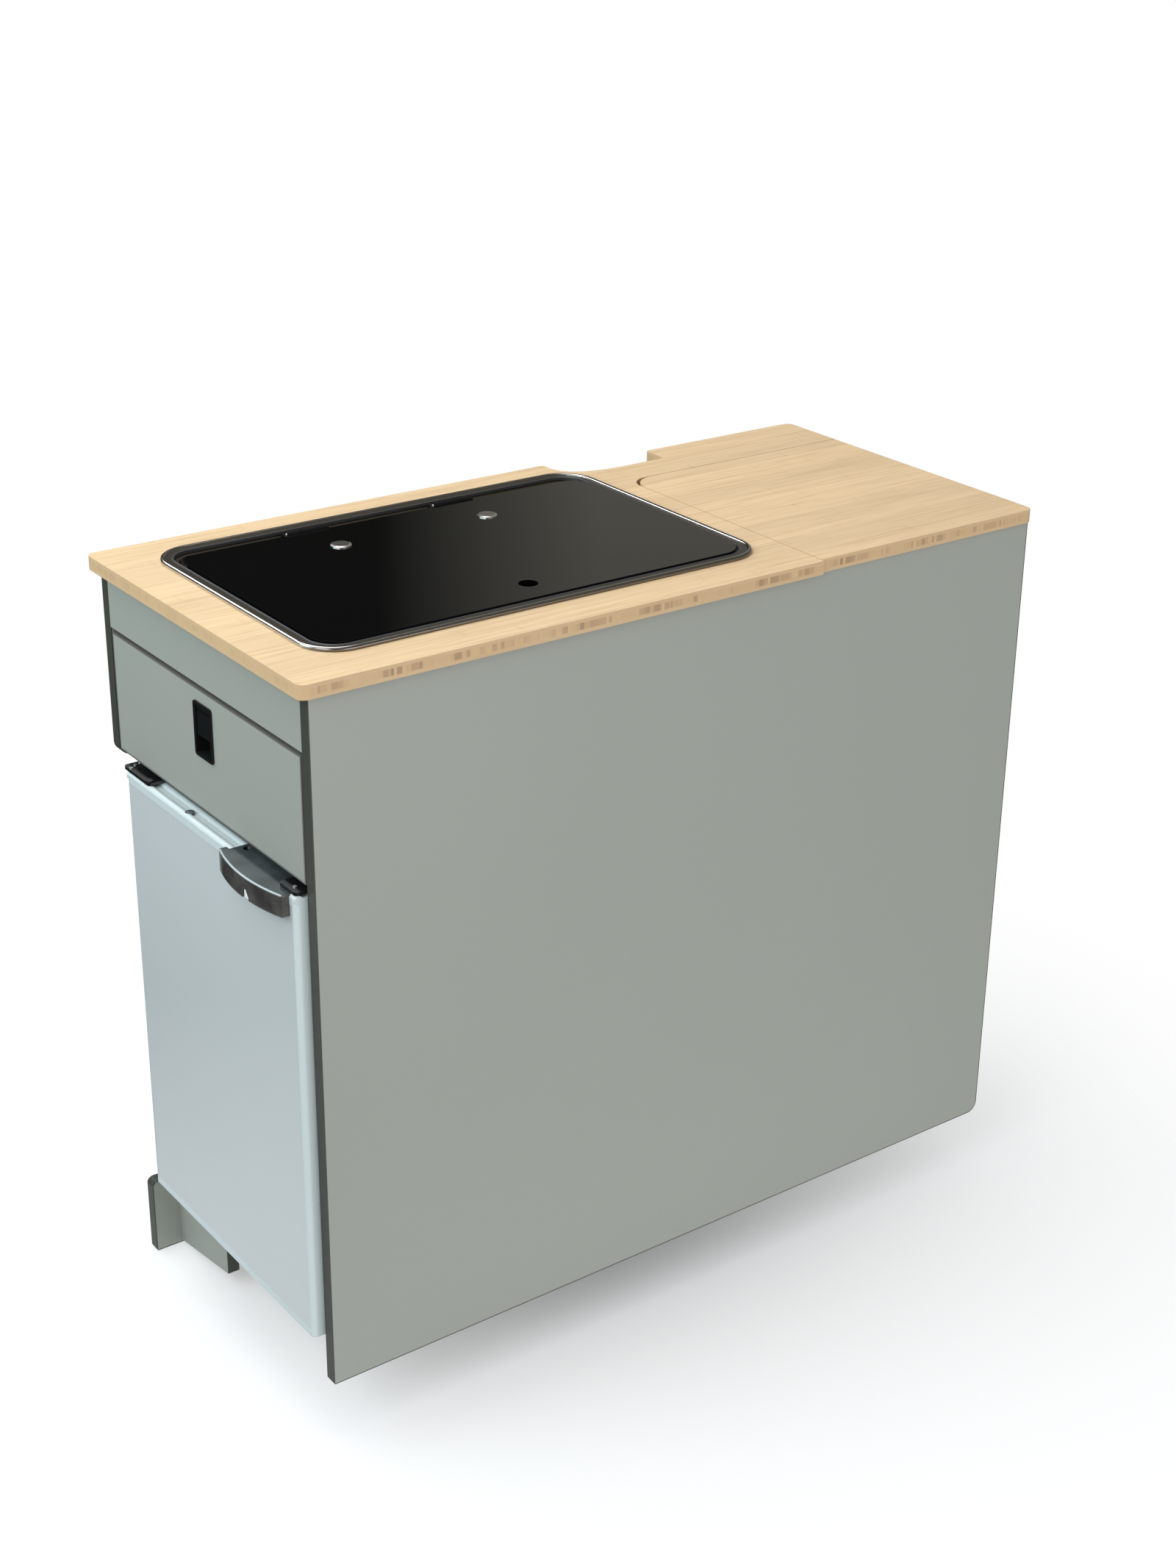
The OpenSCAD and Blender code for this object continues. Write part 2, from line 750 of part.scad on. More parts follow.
// Latch bezel with its housing behind the drawer front
module latch_bezel() {
    color(C_BLACK) placed() difference() {
        union() {
            cross_plate(-bezel_out, bezel_out)
                translate([latch_y0, latch_z0]) rrect(latch_w, latch_h, 4);
            block([0, latch_y - pocket_w / 2 - wall_latch, pocket_z0 - wall_latch],
                [latch_d, latch_y + pocket_w / 2 + wall_latch, pocket_z1 + wall_latch]);
        }
        block([-bezel_out - eps, latch_y - pocket_w / 2, pocket_z0],
            [latch_d - wall_latch, latch_y + pocket_w / 2, pocket_z1]);
        block([bolt_x0 - move_gap, latch_y - bolt_w / 2 - move_gap, pocket_z1 - eps],
            [bolt_x1 + move_gap, latch_y + bolt_w / 2 + move_gap, pocket_z1 + wall_latch + eps]);
        rod_y([paddle_pin_x, latch_y - pocket_w / 2 - wall_latch - eps, paddle_pin_z],
            pocket_w + 2 * wall_latch + 2 * eps, paddle_pin_r + run_fit);
    }
}

// Paddle with its pin and the finger that draws the bolt down
module latch_paddle() {
    w = pocket_w - 2 * move_gap;
    y0 = latch_y - w / 2;
    color(C_BLACK) placed() {
        block([0, y0, paddle_pin_z - paddle_h + 3], [paddle_t, y0 + w, paddle_pin_z - 2.6]);
        rod_y([paddle_pin_x, y0, paddle_pin_z], w, 3);
        rod_y([paddle_pin_x, latch_y - pocket_w / 2 - wall_latch + move_gap, paddle_pin_z],
            pocket_w + 2 * wall_latch - 2 * move_gap, paddle_pin_r);
        block([paddle_pin_x, y0 + 3, paddle_pin_z - 2], [bolt_x0 + 1, y0 + 9, paddle_pin_z + 1]);
    }
}

bolt_tip_z = body_h - fascia_h - move_gap;

module latch_bolt() {
    color(C_ZINC) placed() {
        block([bolt_x0, latch_y - bolt_w / 2, pocket_z0 + 20], [bolt_x1, latch_y + bolt_w / 2, bolt_tip_z]);
        block([bolt_x0, latch_y - pocket_w / 2 + 2, paddle_pin_z - 12],
            [bolt_x1, latch_y, paddle_pin_z - 2 - move_gap]);
    }
}

// Fridge cabinet profile in X and Z, stepped for the compressor, drawn in by e
module case_profile(e) {
    polygon([
        [case_x0, base_top + e], [step_x - e, base_top + e], [step_x - e, step_z + e],
        [case_x1 - e, step_z + e], [case_x1 - e, case_z1 - e], [case_x0, case_z1 - e]
    ]);
}

// Cabin profile in X and Z, grown by e
module cabin_profile(e) {
    polygon([
        [case_x0 - eps, cab_z0 - e], [cab_step_x + e, cab_z0 - e], [cab_step_x + e, cab_step_z - e],
        [cab_x1 + e, cab_step_z - e], [cab_x1 + e, cab_z1 + e], [case_x0 - eps, cab_z1 + e]
    ]);
}

module cabin_space(e) {
    long_plate(cab_y0 - e, cab_y1 - cab_y0 + 2 * e) cabin_profile(e);
}

module fridge_case() {
    color(C_ZINC) placed() difference() {
        long_plate(case_y0, case_y1 - case_y0) case_profile(0);
        difference() {
            long_plate(case_y0 + shell_t, case_y1 - case_y0 - 2 * shell_t) case_profile(shell_t);
            block([case_x0 - eps, 0, 0], [case_x0 + shell_t, body_d, body_h]);
        }
        cabin_space(liner_t);
    }
}

module fridge_foam() {
    color([0.9, 0.86, 0.7]) placed() difference() {
        intersection() {
            long_plate(case_y0 + shell_t, case_y1 - case_y0 - 2 * shell_t) case_profile(shell_t);
            block([case_x0 + shell_t, 0, 0], [case_x1, body_d, body_h]);
        }
        cabin_space(liner_t);
    }
}

rib_z = cab_z0 + 190;
rib_s = 6;
knob_mx = case_x0 + 130;
knob_mz = cab_z1 - 60;
stat_d = 18;

module fridge_liner() {
    color(C_WHITE) placed() {
        difference() {
            intersection() {
                cabin_space(liner_t);
                block([case_x0, 0, 0], [case_x1, body_d, body_h]);
            }
            cabin_space(0);
        }
        for (y = [cab_y0, cab_y1 - rib_s])
            block([case_x0 + 20, y, rib_z], [cab_step_x, y + rib_s, rib_z + rib_s]);
        difference() {
            block([knob_mx - 25, cab_y0, knob_mz - 22], [knob_mx + 25, cab_y0 + stat_d, knob_mz + 22]);
            rod_y([knob_mx, cab_y0 + 6, knob_mz], stat_d, 3 + run_fit);
        }
    }
}

module thermostat_knob() {
    color(C_BLACK) placed() {
        rod_y([knob_mx, cab_y0 + 8, knob_mz], stat_d, 3);
        rod_y([knob_mx, cab_y0 + stat_d + move_gap, knob_mz], 9, 12);
        block([knob_mx - 1.5, cab_y0 + stat_d + move_gap + 6, knob_mz],
            [knob_mx + 1.5, cab_y0 + stat_d + move_gap + 10, knob_mz + 12]);
    }
}

shelf_in = 75;
comp_r = 60;
comp_h = 70;
comp_cap_r = 48;
comp_cap_h = 25;
comp_foot = 45;
comp_foot_h = 12;
comp_plate = 3;
comp_box = [108, 80, 67];

// Wire shelf on the liner's ribs
module fridge_shelf() {
    z = rib_z + rib_s + 2;
    x0 = case_x0 + shelf_in;
    x1 = cab_step_x - 6;
    y0 = cab_y0 + 1;
    y1 = cab_y1 - 1;
    pitch = (y1 - y0 - 4) / 12;
    color(C_WHITE) placed() {
        for (x = [x0 + 2, x1 - 2]) rod_y([x, y0, z], y1 - y0, 2);
        for (i = [0 : 12]) rod_x([x0, y0 + 2 + i * pitch, z], x1 - x0, 2);
    }
}

evaporator_in = 190;
evaporator_h = 105;

// Evaporator: a bent aluminium box hung from the cabin's roof
module evaporator() {
    x0 = case_x0 + evaporator_in;
    y0 = cab_y0 + 14;
    y1 = cab_y1 - 14;
    z0 = cab_z1 - evaporator_h;
    color(C_STEEL) placed() difference() {
        block([x0, y0, z0], [cab_x1 - 4, y1, cab_z1]);
        block([x0 - eps, y0 + 2, z0 + 2], [cab_x1 - 6, y1 - 2, cab_z1 - 2]);
    }
}

module compressor() {
    mx = (step_x + case_x1) / 2;
    my = (case_y0 + case_y1) / 2;
    foot_z = base_top + comp_plate;
    can_z = foot_z + comp_foot_h;
    box_y = my + comp_r + 10;
    color(C_BLACK) placed() {
        block([step_x + 6, case_y0 + 10, base_top], [case_x1 - 6, case_y1 - 10, foot_z]);
        for (dx = [-comp_foot, comp_foot], dy = [-comp_foot, comp_foot])
            rod_z([mx + dx, my + dy, foot_z], comp_foot_h, 9);
        rod_z([mx, my, can_z], comp_h, comp_r);
        rod_z([mx, my, can_z + comp_h], comp_cap_h, comp_cap_r);
        block([mx - 58, box_y, foot_z], [mx - 58 + comp_box[0], box_y + comp_box[1], foot_z + comp_box[2]]);
    }
}

pin_l = 17.5;
low_leg = 4;
hinge_y0 = pin_y - 41;
hinge_y1 = fridge_y1 + 10;
bolt_foot_x = case_x0 + 36;
plate_x0 = door_x0 + 1.5;

// Outline of a hinge plate in X and Y, rounded at the pin's side
module hinge_plate_outline() {
    translate([plate_x0, hinge_y0]) rrect(bolt_foot_x - plate_x0, hinge_y1 - hinge_y0, 5);
}

screw_r = 2.4;
screws = [[door_x0 + 4.5, fridge_y1 - 3.5], [door_x0 + 12.5, fridge_y1 + 2.5], [door_x0 + 20, fridge_y1 + 6]];
hinge_boss = [plate_x0 + 4.5, hinge_y0 + 6.5];
strike_y0 = fridge_y0 + 1;
strike_y1 = fridge_y0 + 35;
strike_screw = [door_x0 + 9, fridge_y0 + 14.7];

// Hinge brackets above and below the door, and the strike plate over its free corner
module fridge_brackets() {
    color(C_BLACK) placed() {
        difference() {
            union() {
                translate([0, 0, plate_z]) linear_extrude(plate_t) hinge_plate_outline();
                rod_z([hinge_boss[0], hinge_boss[1], plate_z], plate_t + 1.2, 4.5);
                block([case_x0, hinge_y0 + 2, case_z1], [bolt_foot_x - 2, case_y1, plate_z]);
            }
            for (p = screws) rod_z([p[0], p[1], plate_z + 1], plate_t, screw_r + 0.1);
        }
        rod_z([pin_x, pin_y, door_z1 - pin_l], pin_l + plate_gap + 1, pin_r);
        translate([plate_x0 + 2, hinge_y0 + 8, low_plate_z]) linear_extrude(plate_t)
            rrect(case_x0 + low_leg - plate_x0 - 2, hinge_y1 - hinge_y0 - 12, 3);
        block([case_x0, hinge_y0 + 12, low_plate_z + 1], [case_x0 + low_leg, hinge_y1 - 8, base_top]);
        rod_z([pin_x, pin_y, low_plate_z + 1], plate_t - 1 + plate_gap + pin_l, pin_r);
        difference() {
            union() {
                translate([plate_x0, strike_y0, plate_z]) linear_extrude(plate_t)
                    rrect(bolt_foot_x - plate_x0, strike_y1 - strike_y0, 4);
                block([case_x0, strike_y0 + 2, case_z1], [bolt_foot_x - 2, strike_y1 - 2, plate_z]);
            }
            rod_z([strike_screw[0], strike_screw[1], plate_z + 1], plate_t, screw_r + 0.1);
        }
    }
}

module fridge_screws() {
    color(C_STEEL) placed() {
        for (p = [screws[0], screws[1], screws[2], strike_screw])
            rod_z([p[0], p[1], plate_z + 1], plate_t - 0.2, screw_r);
    }
}

ridge_r = 5;
rebate_d = 5.5;
ridge_z = door_z1 - ridge_r;
groove_z = door_z1 - 3;
frame_side = 6;
frame_low = 8;
frame_top = 12;
decor_t = 2.5;
handle_y0 = fridge_y0 + handle_in;
handle_y1 = handle_y0 + handle_l;
cap_y1 = handle_y1 - 6;
cap_recess = [door_x0 + 16.6, cap_y1 - 9.6];
cap_recess_r = 4;
cap_low = door_z1 - 7;
door_skin = 3;
boss_r = 8;
boss_h = 24;
handle_my = (handle_y0 + handle_y1) / 2;
lever_before = 38;
lever_l = 46;
lever_y0 = handle_my - lever_before;
lever_y1 = lever_y0 + lever_l;
lug_t = 4;
lever_pin_x = door_x0 - 3;
lever_pin_z = door_z1 - 13;
lever_slot_y0 = handle_my - 16;
lever_slot_y1 = lever_slot_y0 + 16;
lever_slot_z0 = door_z1 - 22;

// Door outline in X and Y, with rounded front corners, drawn in by e
module door_outline(e) {
    difference() {
        translate([door_x0 + e, fridge_y0 + e]) square([door_t - e, fridge_w - 2 * e]);
        translate([door_x0 + e, fridge_y0 + e]) nib(6 - e);
        translate([door_x0 + e, fridge_y1 - e]) mirror([0, 1]) nib(6 - e);
    }
}

// Space that the lever's tongue needs through the door's top
module lever_slot() {
    block([door_x0 - eps, lever_slot_y0, lever_slot_z0], [door_x1 + eps, lever_slot_y1, cap_low + eps]);
}

module fridge_door_shell() {
    color(C_WHITE) placed() difference() {
        union() {
            difference() {
                union() {
                    translate([0, 0, door_z0]) linear_extrude(groove_z - door_z0) door_outline(0);
                    for (x = [door_x0 + ridge_r, door_x1 - rebate_d - ridge_r])
                        rod_y([x, fridge_y0, ridge_z], fridge_w, ridge_r);
                }
                block([door_x0 + decor_t + door_skin, fridge_y0 + door_skin, door_z0 + door_skin],
                    [door_x1 + eps, fridge_y1 - door_skin, cap_low - door_skin]);
            }
            rod_z([pin_x, pin_y, door_z0], boss_h, boss_r);
            rod_z([pin_x, pin_y, groove_z - boss_h], boss_h, boss_r);
        }
        block([door_x0 - eps, fridge_y0 + frame_side, door_z0 + frame_low],
            [door_x0 + decor_t, fridge_y1 - frame_side, door_z1 - frame_top]);
        block([door_x1 - rebate_d, fridge_y0 - eps, cap_low], [door_x1 + eps, fridge_y1 + eps, door_z1 + eps]);
        block([door_x0 - eps, handle_y0, cap_low], [door_x1 + eps, cap_y1, door_z1 + eps]);
        rod_z([pin_x, pin_y, door_z0 - eps], 18 + eps, pin_r + run_fit);
        rod_z([pin_x, pin_y, door_z1 - 20], 22, pin_r + run_fit);
        lever_slot();
    }
}

liner_in = 5;
bin_y0 = cab_y0 + 24;
bin_y1 = cab_y1 - 14;
bin_d = 62;
bin_gap = 0.2;
bin_t = 3;

// Open bin on the door's inner side
module door_bin(z, h) {
    difference() {
        block([door_x1 + bin_gap, bin_y0, z], [door_x1 + bin_d, bin_y1, z + h]);
        block([door_x1 + bin_t, bin_y0 + bin_t, z + bin_t],
            [door_x1 + bin_d - bin_t, bin_y1 - bin_t, z + h + eps]);
    }
}

module fridge_door_liner() {
    color(C_WHITE) placed() {
        difference() {
            block([door_x1 - liner_in, fridge_y0 + door_skin, door_z0 + door_skin],
                [door_x1, fridge_y1 - door_skin, cap_low - door_skin]);
            lever_slot();
        }
        door_bin(cab_z0 + 12, 70);
        door_bin(cab_z0 + 230, 50);
    }
}

module fridge_gasket() {
    g = 9;
    y0 = case_y0 + 8;
    y1 = pin_y - 3;
    z0 = base_top + 14;
    z1 = lever_slot_z0 - 2;
    color([0.82, 0.84, 0.84]) placed() difference() {
        block([door_x1, y0, z0], [case_x0 - move_gap, y1, z1]);
        block([door_x1 - eps, y0 + g, z0 + g], [case_x0 + eps, y1 - g, z1 - g]);
    }
}

module fridge_decor_panel() {
    color(C_DECOR) placed() difference() {
        block([door_x0 + 0.5, fridge_y0 + frame_side, door_z0 + frame_low],
            [door_x0 + decor_t, fridge_y1 - frame_side, door_z1 - frame_top]);
        lever_slot();
    }
}

handle_t = 3.5;
handle_half = handle_l / 2;
handle_sag = handle_out - handle_end;
handle_R = (handle_half * handle_half + handle_sag * handle_sag) / (2 * handle_sag);
handle_cx = front_x + handle_R;
end_wall = 4;
vent_y0 = handle_my - 2;
vent_w = 12;
vent_top_w = 7;
vent_h = 11;
handle_z0 = door_z1 + 1 - handle_h;

// Plan of the handle's bulge, with its curved front at radius r
module handle_plan(r) {
    intersection() {
        translate([handle_cx, handle_my]) circle(r, $fn = 4 * FINE);
        translate([front_x - eps, handle_y0]) square([handle_out + eps, handle_l]);
    }
}

// Smoked handle: a cap over the door's top corner and a curved curtain in front
module fridge_handle() {
    color(C_SMOKE) placed() difference() {
        union() {
            translate([0, 0, handle_z0]) linear_extrude(handle_h - 1) handle_plan(handle_R);
            block([door_x0, handle_y0 + seam, cap_low], [door_x1 - 1, cap_y1 - seam, door_z1]);
        }
        translate([0, 0, handle_z0 - eps]) linear_extrude(handle_h - 4 + eps) intersection() {
            handle_plan(handle_R - handle_t);
            translate([front_x, handle_y0 + end_wall]) square([handle_out, handle_l - 2 * end_wall]);
        }
        translate([front_x - eps, vent_y0 - vent_w, handle_z0]) rotate([90, 0, 90]) linear_extrude(handle_out / 2)
            polygon([[0, -eps], [vent_w, -eps], [vent_w, vent_h], [vent_w - vent_top_w, vent_h], [0, 3]]);
        rod_z([cap_recess[0], cap_recess[1], door_z1 - 3], 3 + eps, cap_recess_r);
    }
    color(C_SMOKE) placed() for (y = [lever_y0 - move_gap - lug_t, lever_y1 + move_gap]) difference() {
        block([lever_pin_x - 4, y, lever_pin_z - 4], [door_x0 - 0.5, y + lug_t, door_z1 - 2]);
        rod_y([lever_pin_x, y - eps, lever_pin_z], lug_t + 2 * eps, 2 + run_fit);
    }
}

// Pull lever behind the curtain, with its pin and the tongue that holds the catch
module fridge_handle_lever() {
    color(C_BLACK) placed() {
        block([door_x0 - 4, lever_y0, handle_z0 + 2], [door_x0 - move_gap * 2, lever_y1, lever_pin_z]);
        rod_y([lever_pin_x, lever_y0 - lug_t, lever_pin_z], lever_y1 - lever_y0 + 2 * lug_t, 2);
        block([door_x0 - 4, lever_slot_y0 + 2, lever_pin_z - 2],
            [door_x1 - 4, lever_slot_y1 - 2, lever_pin_z + 1]);
        block([door_x1 - 8, lever_slot_y0 + 2, lever_pin_z], [door_x1 - 4, lever_slot_y1 - 2, cap_low - 1]);
    }
}

// Rim section from the inner edge outwards: a small lip, a flat band and the outer bead
module rim_section(z) {
    intersection() {
        union() {
            translate([rim_w - bead_r, z + rim_h - bead_r]) circle(bead_r, $fn = FINE);
            translate([0, z]) square([rim_w - bead_r, band_h]);
            translate([lip_r, z + band_h - 0.4]) circle(lip_r, $fn = FINE);
        }
        translate([0, z]) square([rim_w, rim_h]);
    }
}

// Sweeps a section drawn outwards from the inner edge round a rounded rectangle
module ring_sweep(x, y, l, w, r, band) {
    for (c = [[r, r, 180], [l - r, r, 270], [l - r, w - r, 0], [r, w - r, 90]])
        translate([x + c[0], y + c[1], 0]) rotate([0, 0, c[2]])
            rotate_extrude(angle = 90, $fn = FINE) translate([r - band, 0]) children();
    translate([x + r, y, 0]) rotate([90, 0, 90]) linear_extrude(l - 2 * r)
        translate([band, 0]) mirror([1, 0]) children();
    translate([x + r, y + w, 0]) rotate([90, 0, 90]) linear_extrude(l - 2 * r)
        translate([-band, 0]) children();
    translate([x, y + r, 0]) rotate([90, 0, 0]) mirror([0, 0, 1]) linear_extrude(w - 2 * r)
        translate([band, 0]) mirror([1, 0]) children();
    translate([x + l, y + r, 0]) rotate([90, 0, 0]) mirror([0, 0, 1]) linear_extrude(w - 2 * r)
        translate([-band, 0]) children();
}

module sink_hob_tray() {
    st = steel_t;
    color(C_STEEL) placed() difference() {
        union() {
            ring_sweep(hob_x, hob_y, hob_l, hob_w, hob_r, rim_w) rim_section(top_z);
            rbox([rec_x - st, rec_y - st, ledge_z - st], rec_l + 2 * st, rec_w + 2 * st,
                top_z - ledge_z + st + seam, rec_r + st);
            rbox([well_x - st, well_y - st, well_z - st], well_l + 2 * st, well_w + 2 * st,
                ledge_z - well_z, well_r + st);
        }
        rbox([rec_x, rec_y, ledge_z], rec_l, rec_w, 20, rec_r);
        rbox([well_x, well_y, well_z], well_l, well_w, well_d + 20, well_r);
        rbox([bowl_x, bowl_y, well_z - 10], bowl_l, bowl_w, 20, bowl_r);
        for (b = [burner_a, burner_b]) rod_z([b[0], b[1], well_z - 5], 10, mixer_r + 0.5);
        for (k = [knob_a, knob_b]) rod_z([k[0], k[1], well_z - 5], 10, shaft_r + 1);
        rod_z([tap_x, tap_y, well_z - 5], 10, 6);
    }
}

// Bowl welded to the underside of the tray's floor
module sink_bowl() {
    color(C_STEEL) placed() difference() {
        rbox([bowl_x - steel_t, bowl_y - steel_t, bowl_z - steel_t], bowl_l + 2 * steel_t,
            bowl_w + 2 * steel_t, bowl_d, bowl_r + steel_t);
        rbox([bowl_x, bowl_y, bowl_z], bowl_l, bowl_w, bowl_d, bowl_r);
        rod_z([bowl_mx, bowl_my, bowl_z - 5], 10, drain_r);
    }
}

// Rubber strip on the ledge along three sides
module lid_seal() {
    h = glass_z - ledge_z;
    color(C_BLACK) placed() intersection() {
        difference() {
            rbox([rec_x + 0.6, rec_y + 0.6, ledge_z], rec_l - 1.2, rec_w - 1.2, h - move_gap, rec_r - 0.6);
            rbox([rec_x + 4, rec_y + 4, ledge_z - eps], rec_l - 8, rec_w - 8, h + 2, rec_r - 4);
        }
        block([rec_x, rec_y, ledge_z], [rec_x + rec_l, glass_y1 - 12, ledge_z + h]);
    }
}

module glass_lid() {
    color([0.05, 0.05, 0.06]) placed() difference() {
        rbox([glass_x, glass_y, glass_z], glass_l, glass_y1 - glass_y, glass_t, glass_r);
        rod_z([finger_x, finger_y, glass_z - eps], glass_t + 2 * eps, finger_r);
        for (x = cap_x) rod_z([x, cap_y, glass_z - eps], glass_t + 2 * eps, 4);
    }
}

// Arms under the glass with the middle knuckle of each hinge
module glass_hinge_arms() {
    color(C_ZINC) placed() for (x = cap_x - [hinge_shift, hinge_shift]) {
        translate([x - arm_w / 2, cap_y - 12, arm_z])
            linear_extrude(arm_t) rrect(arm_w, glass_axis_y - barrel_r - cap_y + 12, 5);
        block([x - knuckle_l / 2, glass_axis_y - 14, arm_z],
            [x + knuckle_l / 2, glass_axis_y - 1.5, arm_z + arm_t]);
        difference() {
            rod_x([x - knuckle_l / 2, glass_axis_y, glass_axis_z], knuckle_l, barrel_r);
            rod_x([x - knuckle_l, glass_axis_y, glass_axis_z], 2 * knuckle_l, hinge_pin_r + run_fit);
        }
        rod_z([x + hinge_shift, cap_y, arm_z], arm_t + glass_t, 3.6);
    }
}

// Outer knuckles on feet in the rear of the well, with bright pins
module glass_hinge_brackets() {
    side = (barrel_l - knuckle_l) / 2 - 0.5;
    foot_y = well_y + well_w;
    color(C_ZINC) placed() for (x = cap_x - [hinge_shift, hinge_shift]) {
        for (k = [x - barrel_l / 2, x + barrel_l / 2 - side]) {
            rod_x([k, glass_axis_y, glass_axis_z], side, barrel_r);
            block([k, glass_axis_y, glass_axis_z - barrel_r], [k + side, foot_y, glass_axis_z - 1]);
            block([k, foot_y - 2, well_z + 12], [k + side, foot_y, glass_axis_z - 1]);
        }
        rod_x([x - barrel_l / 2 - 1.5, glass_axis_y, glass_axis_z], barrel_l + 3, hinge_pin_r);
    }
}

module glass_caps() {
    color(C_STEEL) placed() for (x = cap_x) {
        difference() {
            rod_z([x, cap_y, glass_z + glass_t], 2, 12);
            translate([x, cap_y, glass_z + glass_t]) rotate_extrude() polygon([[9.5, 2.1], [12.1, 2.1], [12.1, 1]]);
        }
    }
}

// Burner cup with its gas slots and the mixing tube below the well
module burner(p, r) {
    rod_z([p[0], p[1], well_z - mixer_h], mixer_h, mixer_r);
    difference() {
        rod_z([p[0], p[1], well_z], burner_h, r);
        rod_z([p[0], p[1], well_z + 4], burner_h, r - 4);
        for (a = [0 : 20 : 340]) translate([p[0], p[1], well_z + burner_h - 3]) rotate([0, 0, a])
            translate([r - 5, -1, 0]) cube([8, 2, 4]);
    }
}

module burners() {
    color(C_ZINC) placed() {
        burner(burner_a, burner_r);
        burner(burner_b, burner_small_r);
    }
}

module burner_cap(p, r) {
    rod_z([p[0], p[1], well_z + burner_h], burner_cap_h, r - 2);
    rod_z([p[0], p[1], well_z + burner_h - 5], 5, r - 6);
}

module burner_caps() {
    color(C_BLACK) placed() {
        burner_cap(burner_a, burner_r);
        burner_cap(burner_b, burner_small_r);
    }
}

// Pan support from flat bar: a ring on the well floor, four legs and four fingers
module pan_support(p, r) {
    translate([p[0], p[1], well_z]) {
        difference() {
            cylinder(h = bar_t, r = r + bar_t / 2);
            translate([0, 0, -eps]) cylinder(h = bar_t + 2 * eps, r = r - bar_t / 2);
        }
        for (a = [45 : 90 : 315]) rotate([0, 0, a]) {
            translate([r - bar_t / 2, -bar_t / 2, 0]) cube([bar_t, bar_t, support_z - well_z]);
            translate([r * 0.28, -bar_t / 2, support_z - well_z - bar_t])
                cube([r * 0.72, bar_t, bar_t]);
        }
    }
}

module pan_supports() {
    color(C_BLACK) placed() {
        pan_support(burner_a, burner_r + support_out);
        pan_support(burner_b, burner_small_r + support_out);
    }
}

module hob_knob(p) {
    color(C_BLACK) placed() {
        rod_z([p[0], p[1], well_z + 2], knob_h, knob_r);
        block([p[0] - 2, p[1] - knob_r + 2, well_z + knob_h], [p[0] + 2, p[1] + knob_r - 2, well_z + knob_h + 6]);
        rod_z([p[0], p[1], well_z - 12], 16, shaft_r);
    }
}

// Pipe run to the wall side: a tube, a collar in the wall panel's passage and a stub behind it
module wall_pipe(p, r, thinner) {
    rod_y(p, body_d - p[1], r - thinner);
    rod_y([p[0], in_y1, p[2]], panel_t, r + collar_over);
    rod_y([p[0], in_y1 + 1, p[2]], pipe_end_y - in_y1 - 1, r);
}

module hob_knob_large() { hob_knob(knob_a); }

module hob_knob_small() { hob_knob(knob_b); }

// Gas rail: a valve under each knob, a cross bar and the supply pipe to the wall side
module gas_rail() {
    top = well_z - steel_t;
    color(C_BRASS) placed() difference() {
        union() {
            for (k = [knob_a, knob_b]) rod_z([k[0], k[1], gas_z - 8], top - gas_z + 8, valve_r);
            rod_x([gas_pipe_x, knob_a[1], gas_z], knob_b[0] - gas_pipe_x, pipe_r);
            rod_z([gas_pipe_x, knob_a[1], gas_z - elbow_r], 2 * elbow_r, elbow_r);
            wall_pipe([gas_pipe_x, knob_a[1], gas_z], pipe_r, tube_in);
            rod_y([burner_a[0], knob_a[1], gas_z], burner_a[1] - mixer_r - knob_a[1] - move_gap, 3);
            rod_y([burner_b[0], knob_b[1], gas_z], burner_b[1] - mixer_r - knob_b[1] - move_gap, 3);
            rod_x([knob_b[0], knob_b[1], gas_z], burner_b[0] - knob_b[0], 3);
            rod_z([burner_b[0], knob_b[1], gas_z - 5], 10, 5);
        }
        for (k = [knob_a, knob_b]) rod_z([k[0], k[1], well_z - 14], 20, shaft_r + run_fit);
    }
}

module tap_base() {
    color(C_STEEL) placed() {
        rod_z([tap_x, tap_y, well_z], 4, tap_r + 4);
        rod_z([tap_x, tap_y, well_z], tap_base_h, tap_r);
        rod_z([tap_x, tap_y, well_z + tap_base_h - 1], spout_h + move_gap + 1, 5);
        rod_z([tap_x, tap_y, water_z - 5], well_z - water_z + 5, 5);
        rod_x([tap_x, tap_y, water_z], water_x - tap_x, pipe_r);
        rod_z([water_x, tap_y, water_z - elbow_r], 2 * elbow_r, elbow_r);
        wall_pipe([water_x, tap_y, water_z], pipe_r, tube_in);
    }
}

module tap_spout() {
    z = well_z + tap_base_h + move_gap;
    color(C_STEEL) placed() difference() {
        union() {
            rod_z([tap_x, tap_y, z], spout_h - move_gap, tap_r);
            translate([tap_x, tap_y, z + spout_h / 2]) rotate([90, 0, 0]) cylinder(h = spout_l, r = spout_r - 1.2);
            rod_z([tap_x, tap_y - spout_l, z - 6], spout_h / 2 + 6, spout_r - 1.2);
        }
        rod_z([tap_x, tap_y, z - eps], spout_h + 2 * eps, 5 + run_fit);
        rod_z([tap_x, tap_y - spout_l, z - 6 - eps], 8, 4);
    }
}

module tap_lever() {
    z = well_z + tap_base_h + spout_h + 2 * move_gap;
    color(C_STEEL) placed() {
        rod_z([tap_x, tap_y, z], 6, tap_r - 2);
        translate([tap_x, tap_y, z + 3]) rotate([0, 90, 0]) cylinder(h = 34, r = 2.2);
    }
}

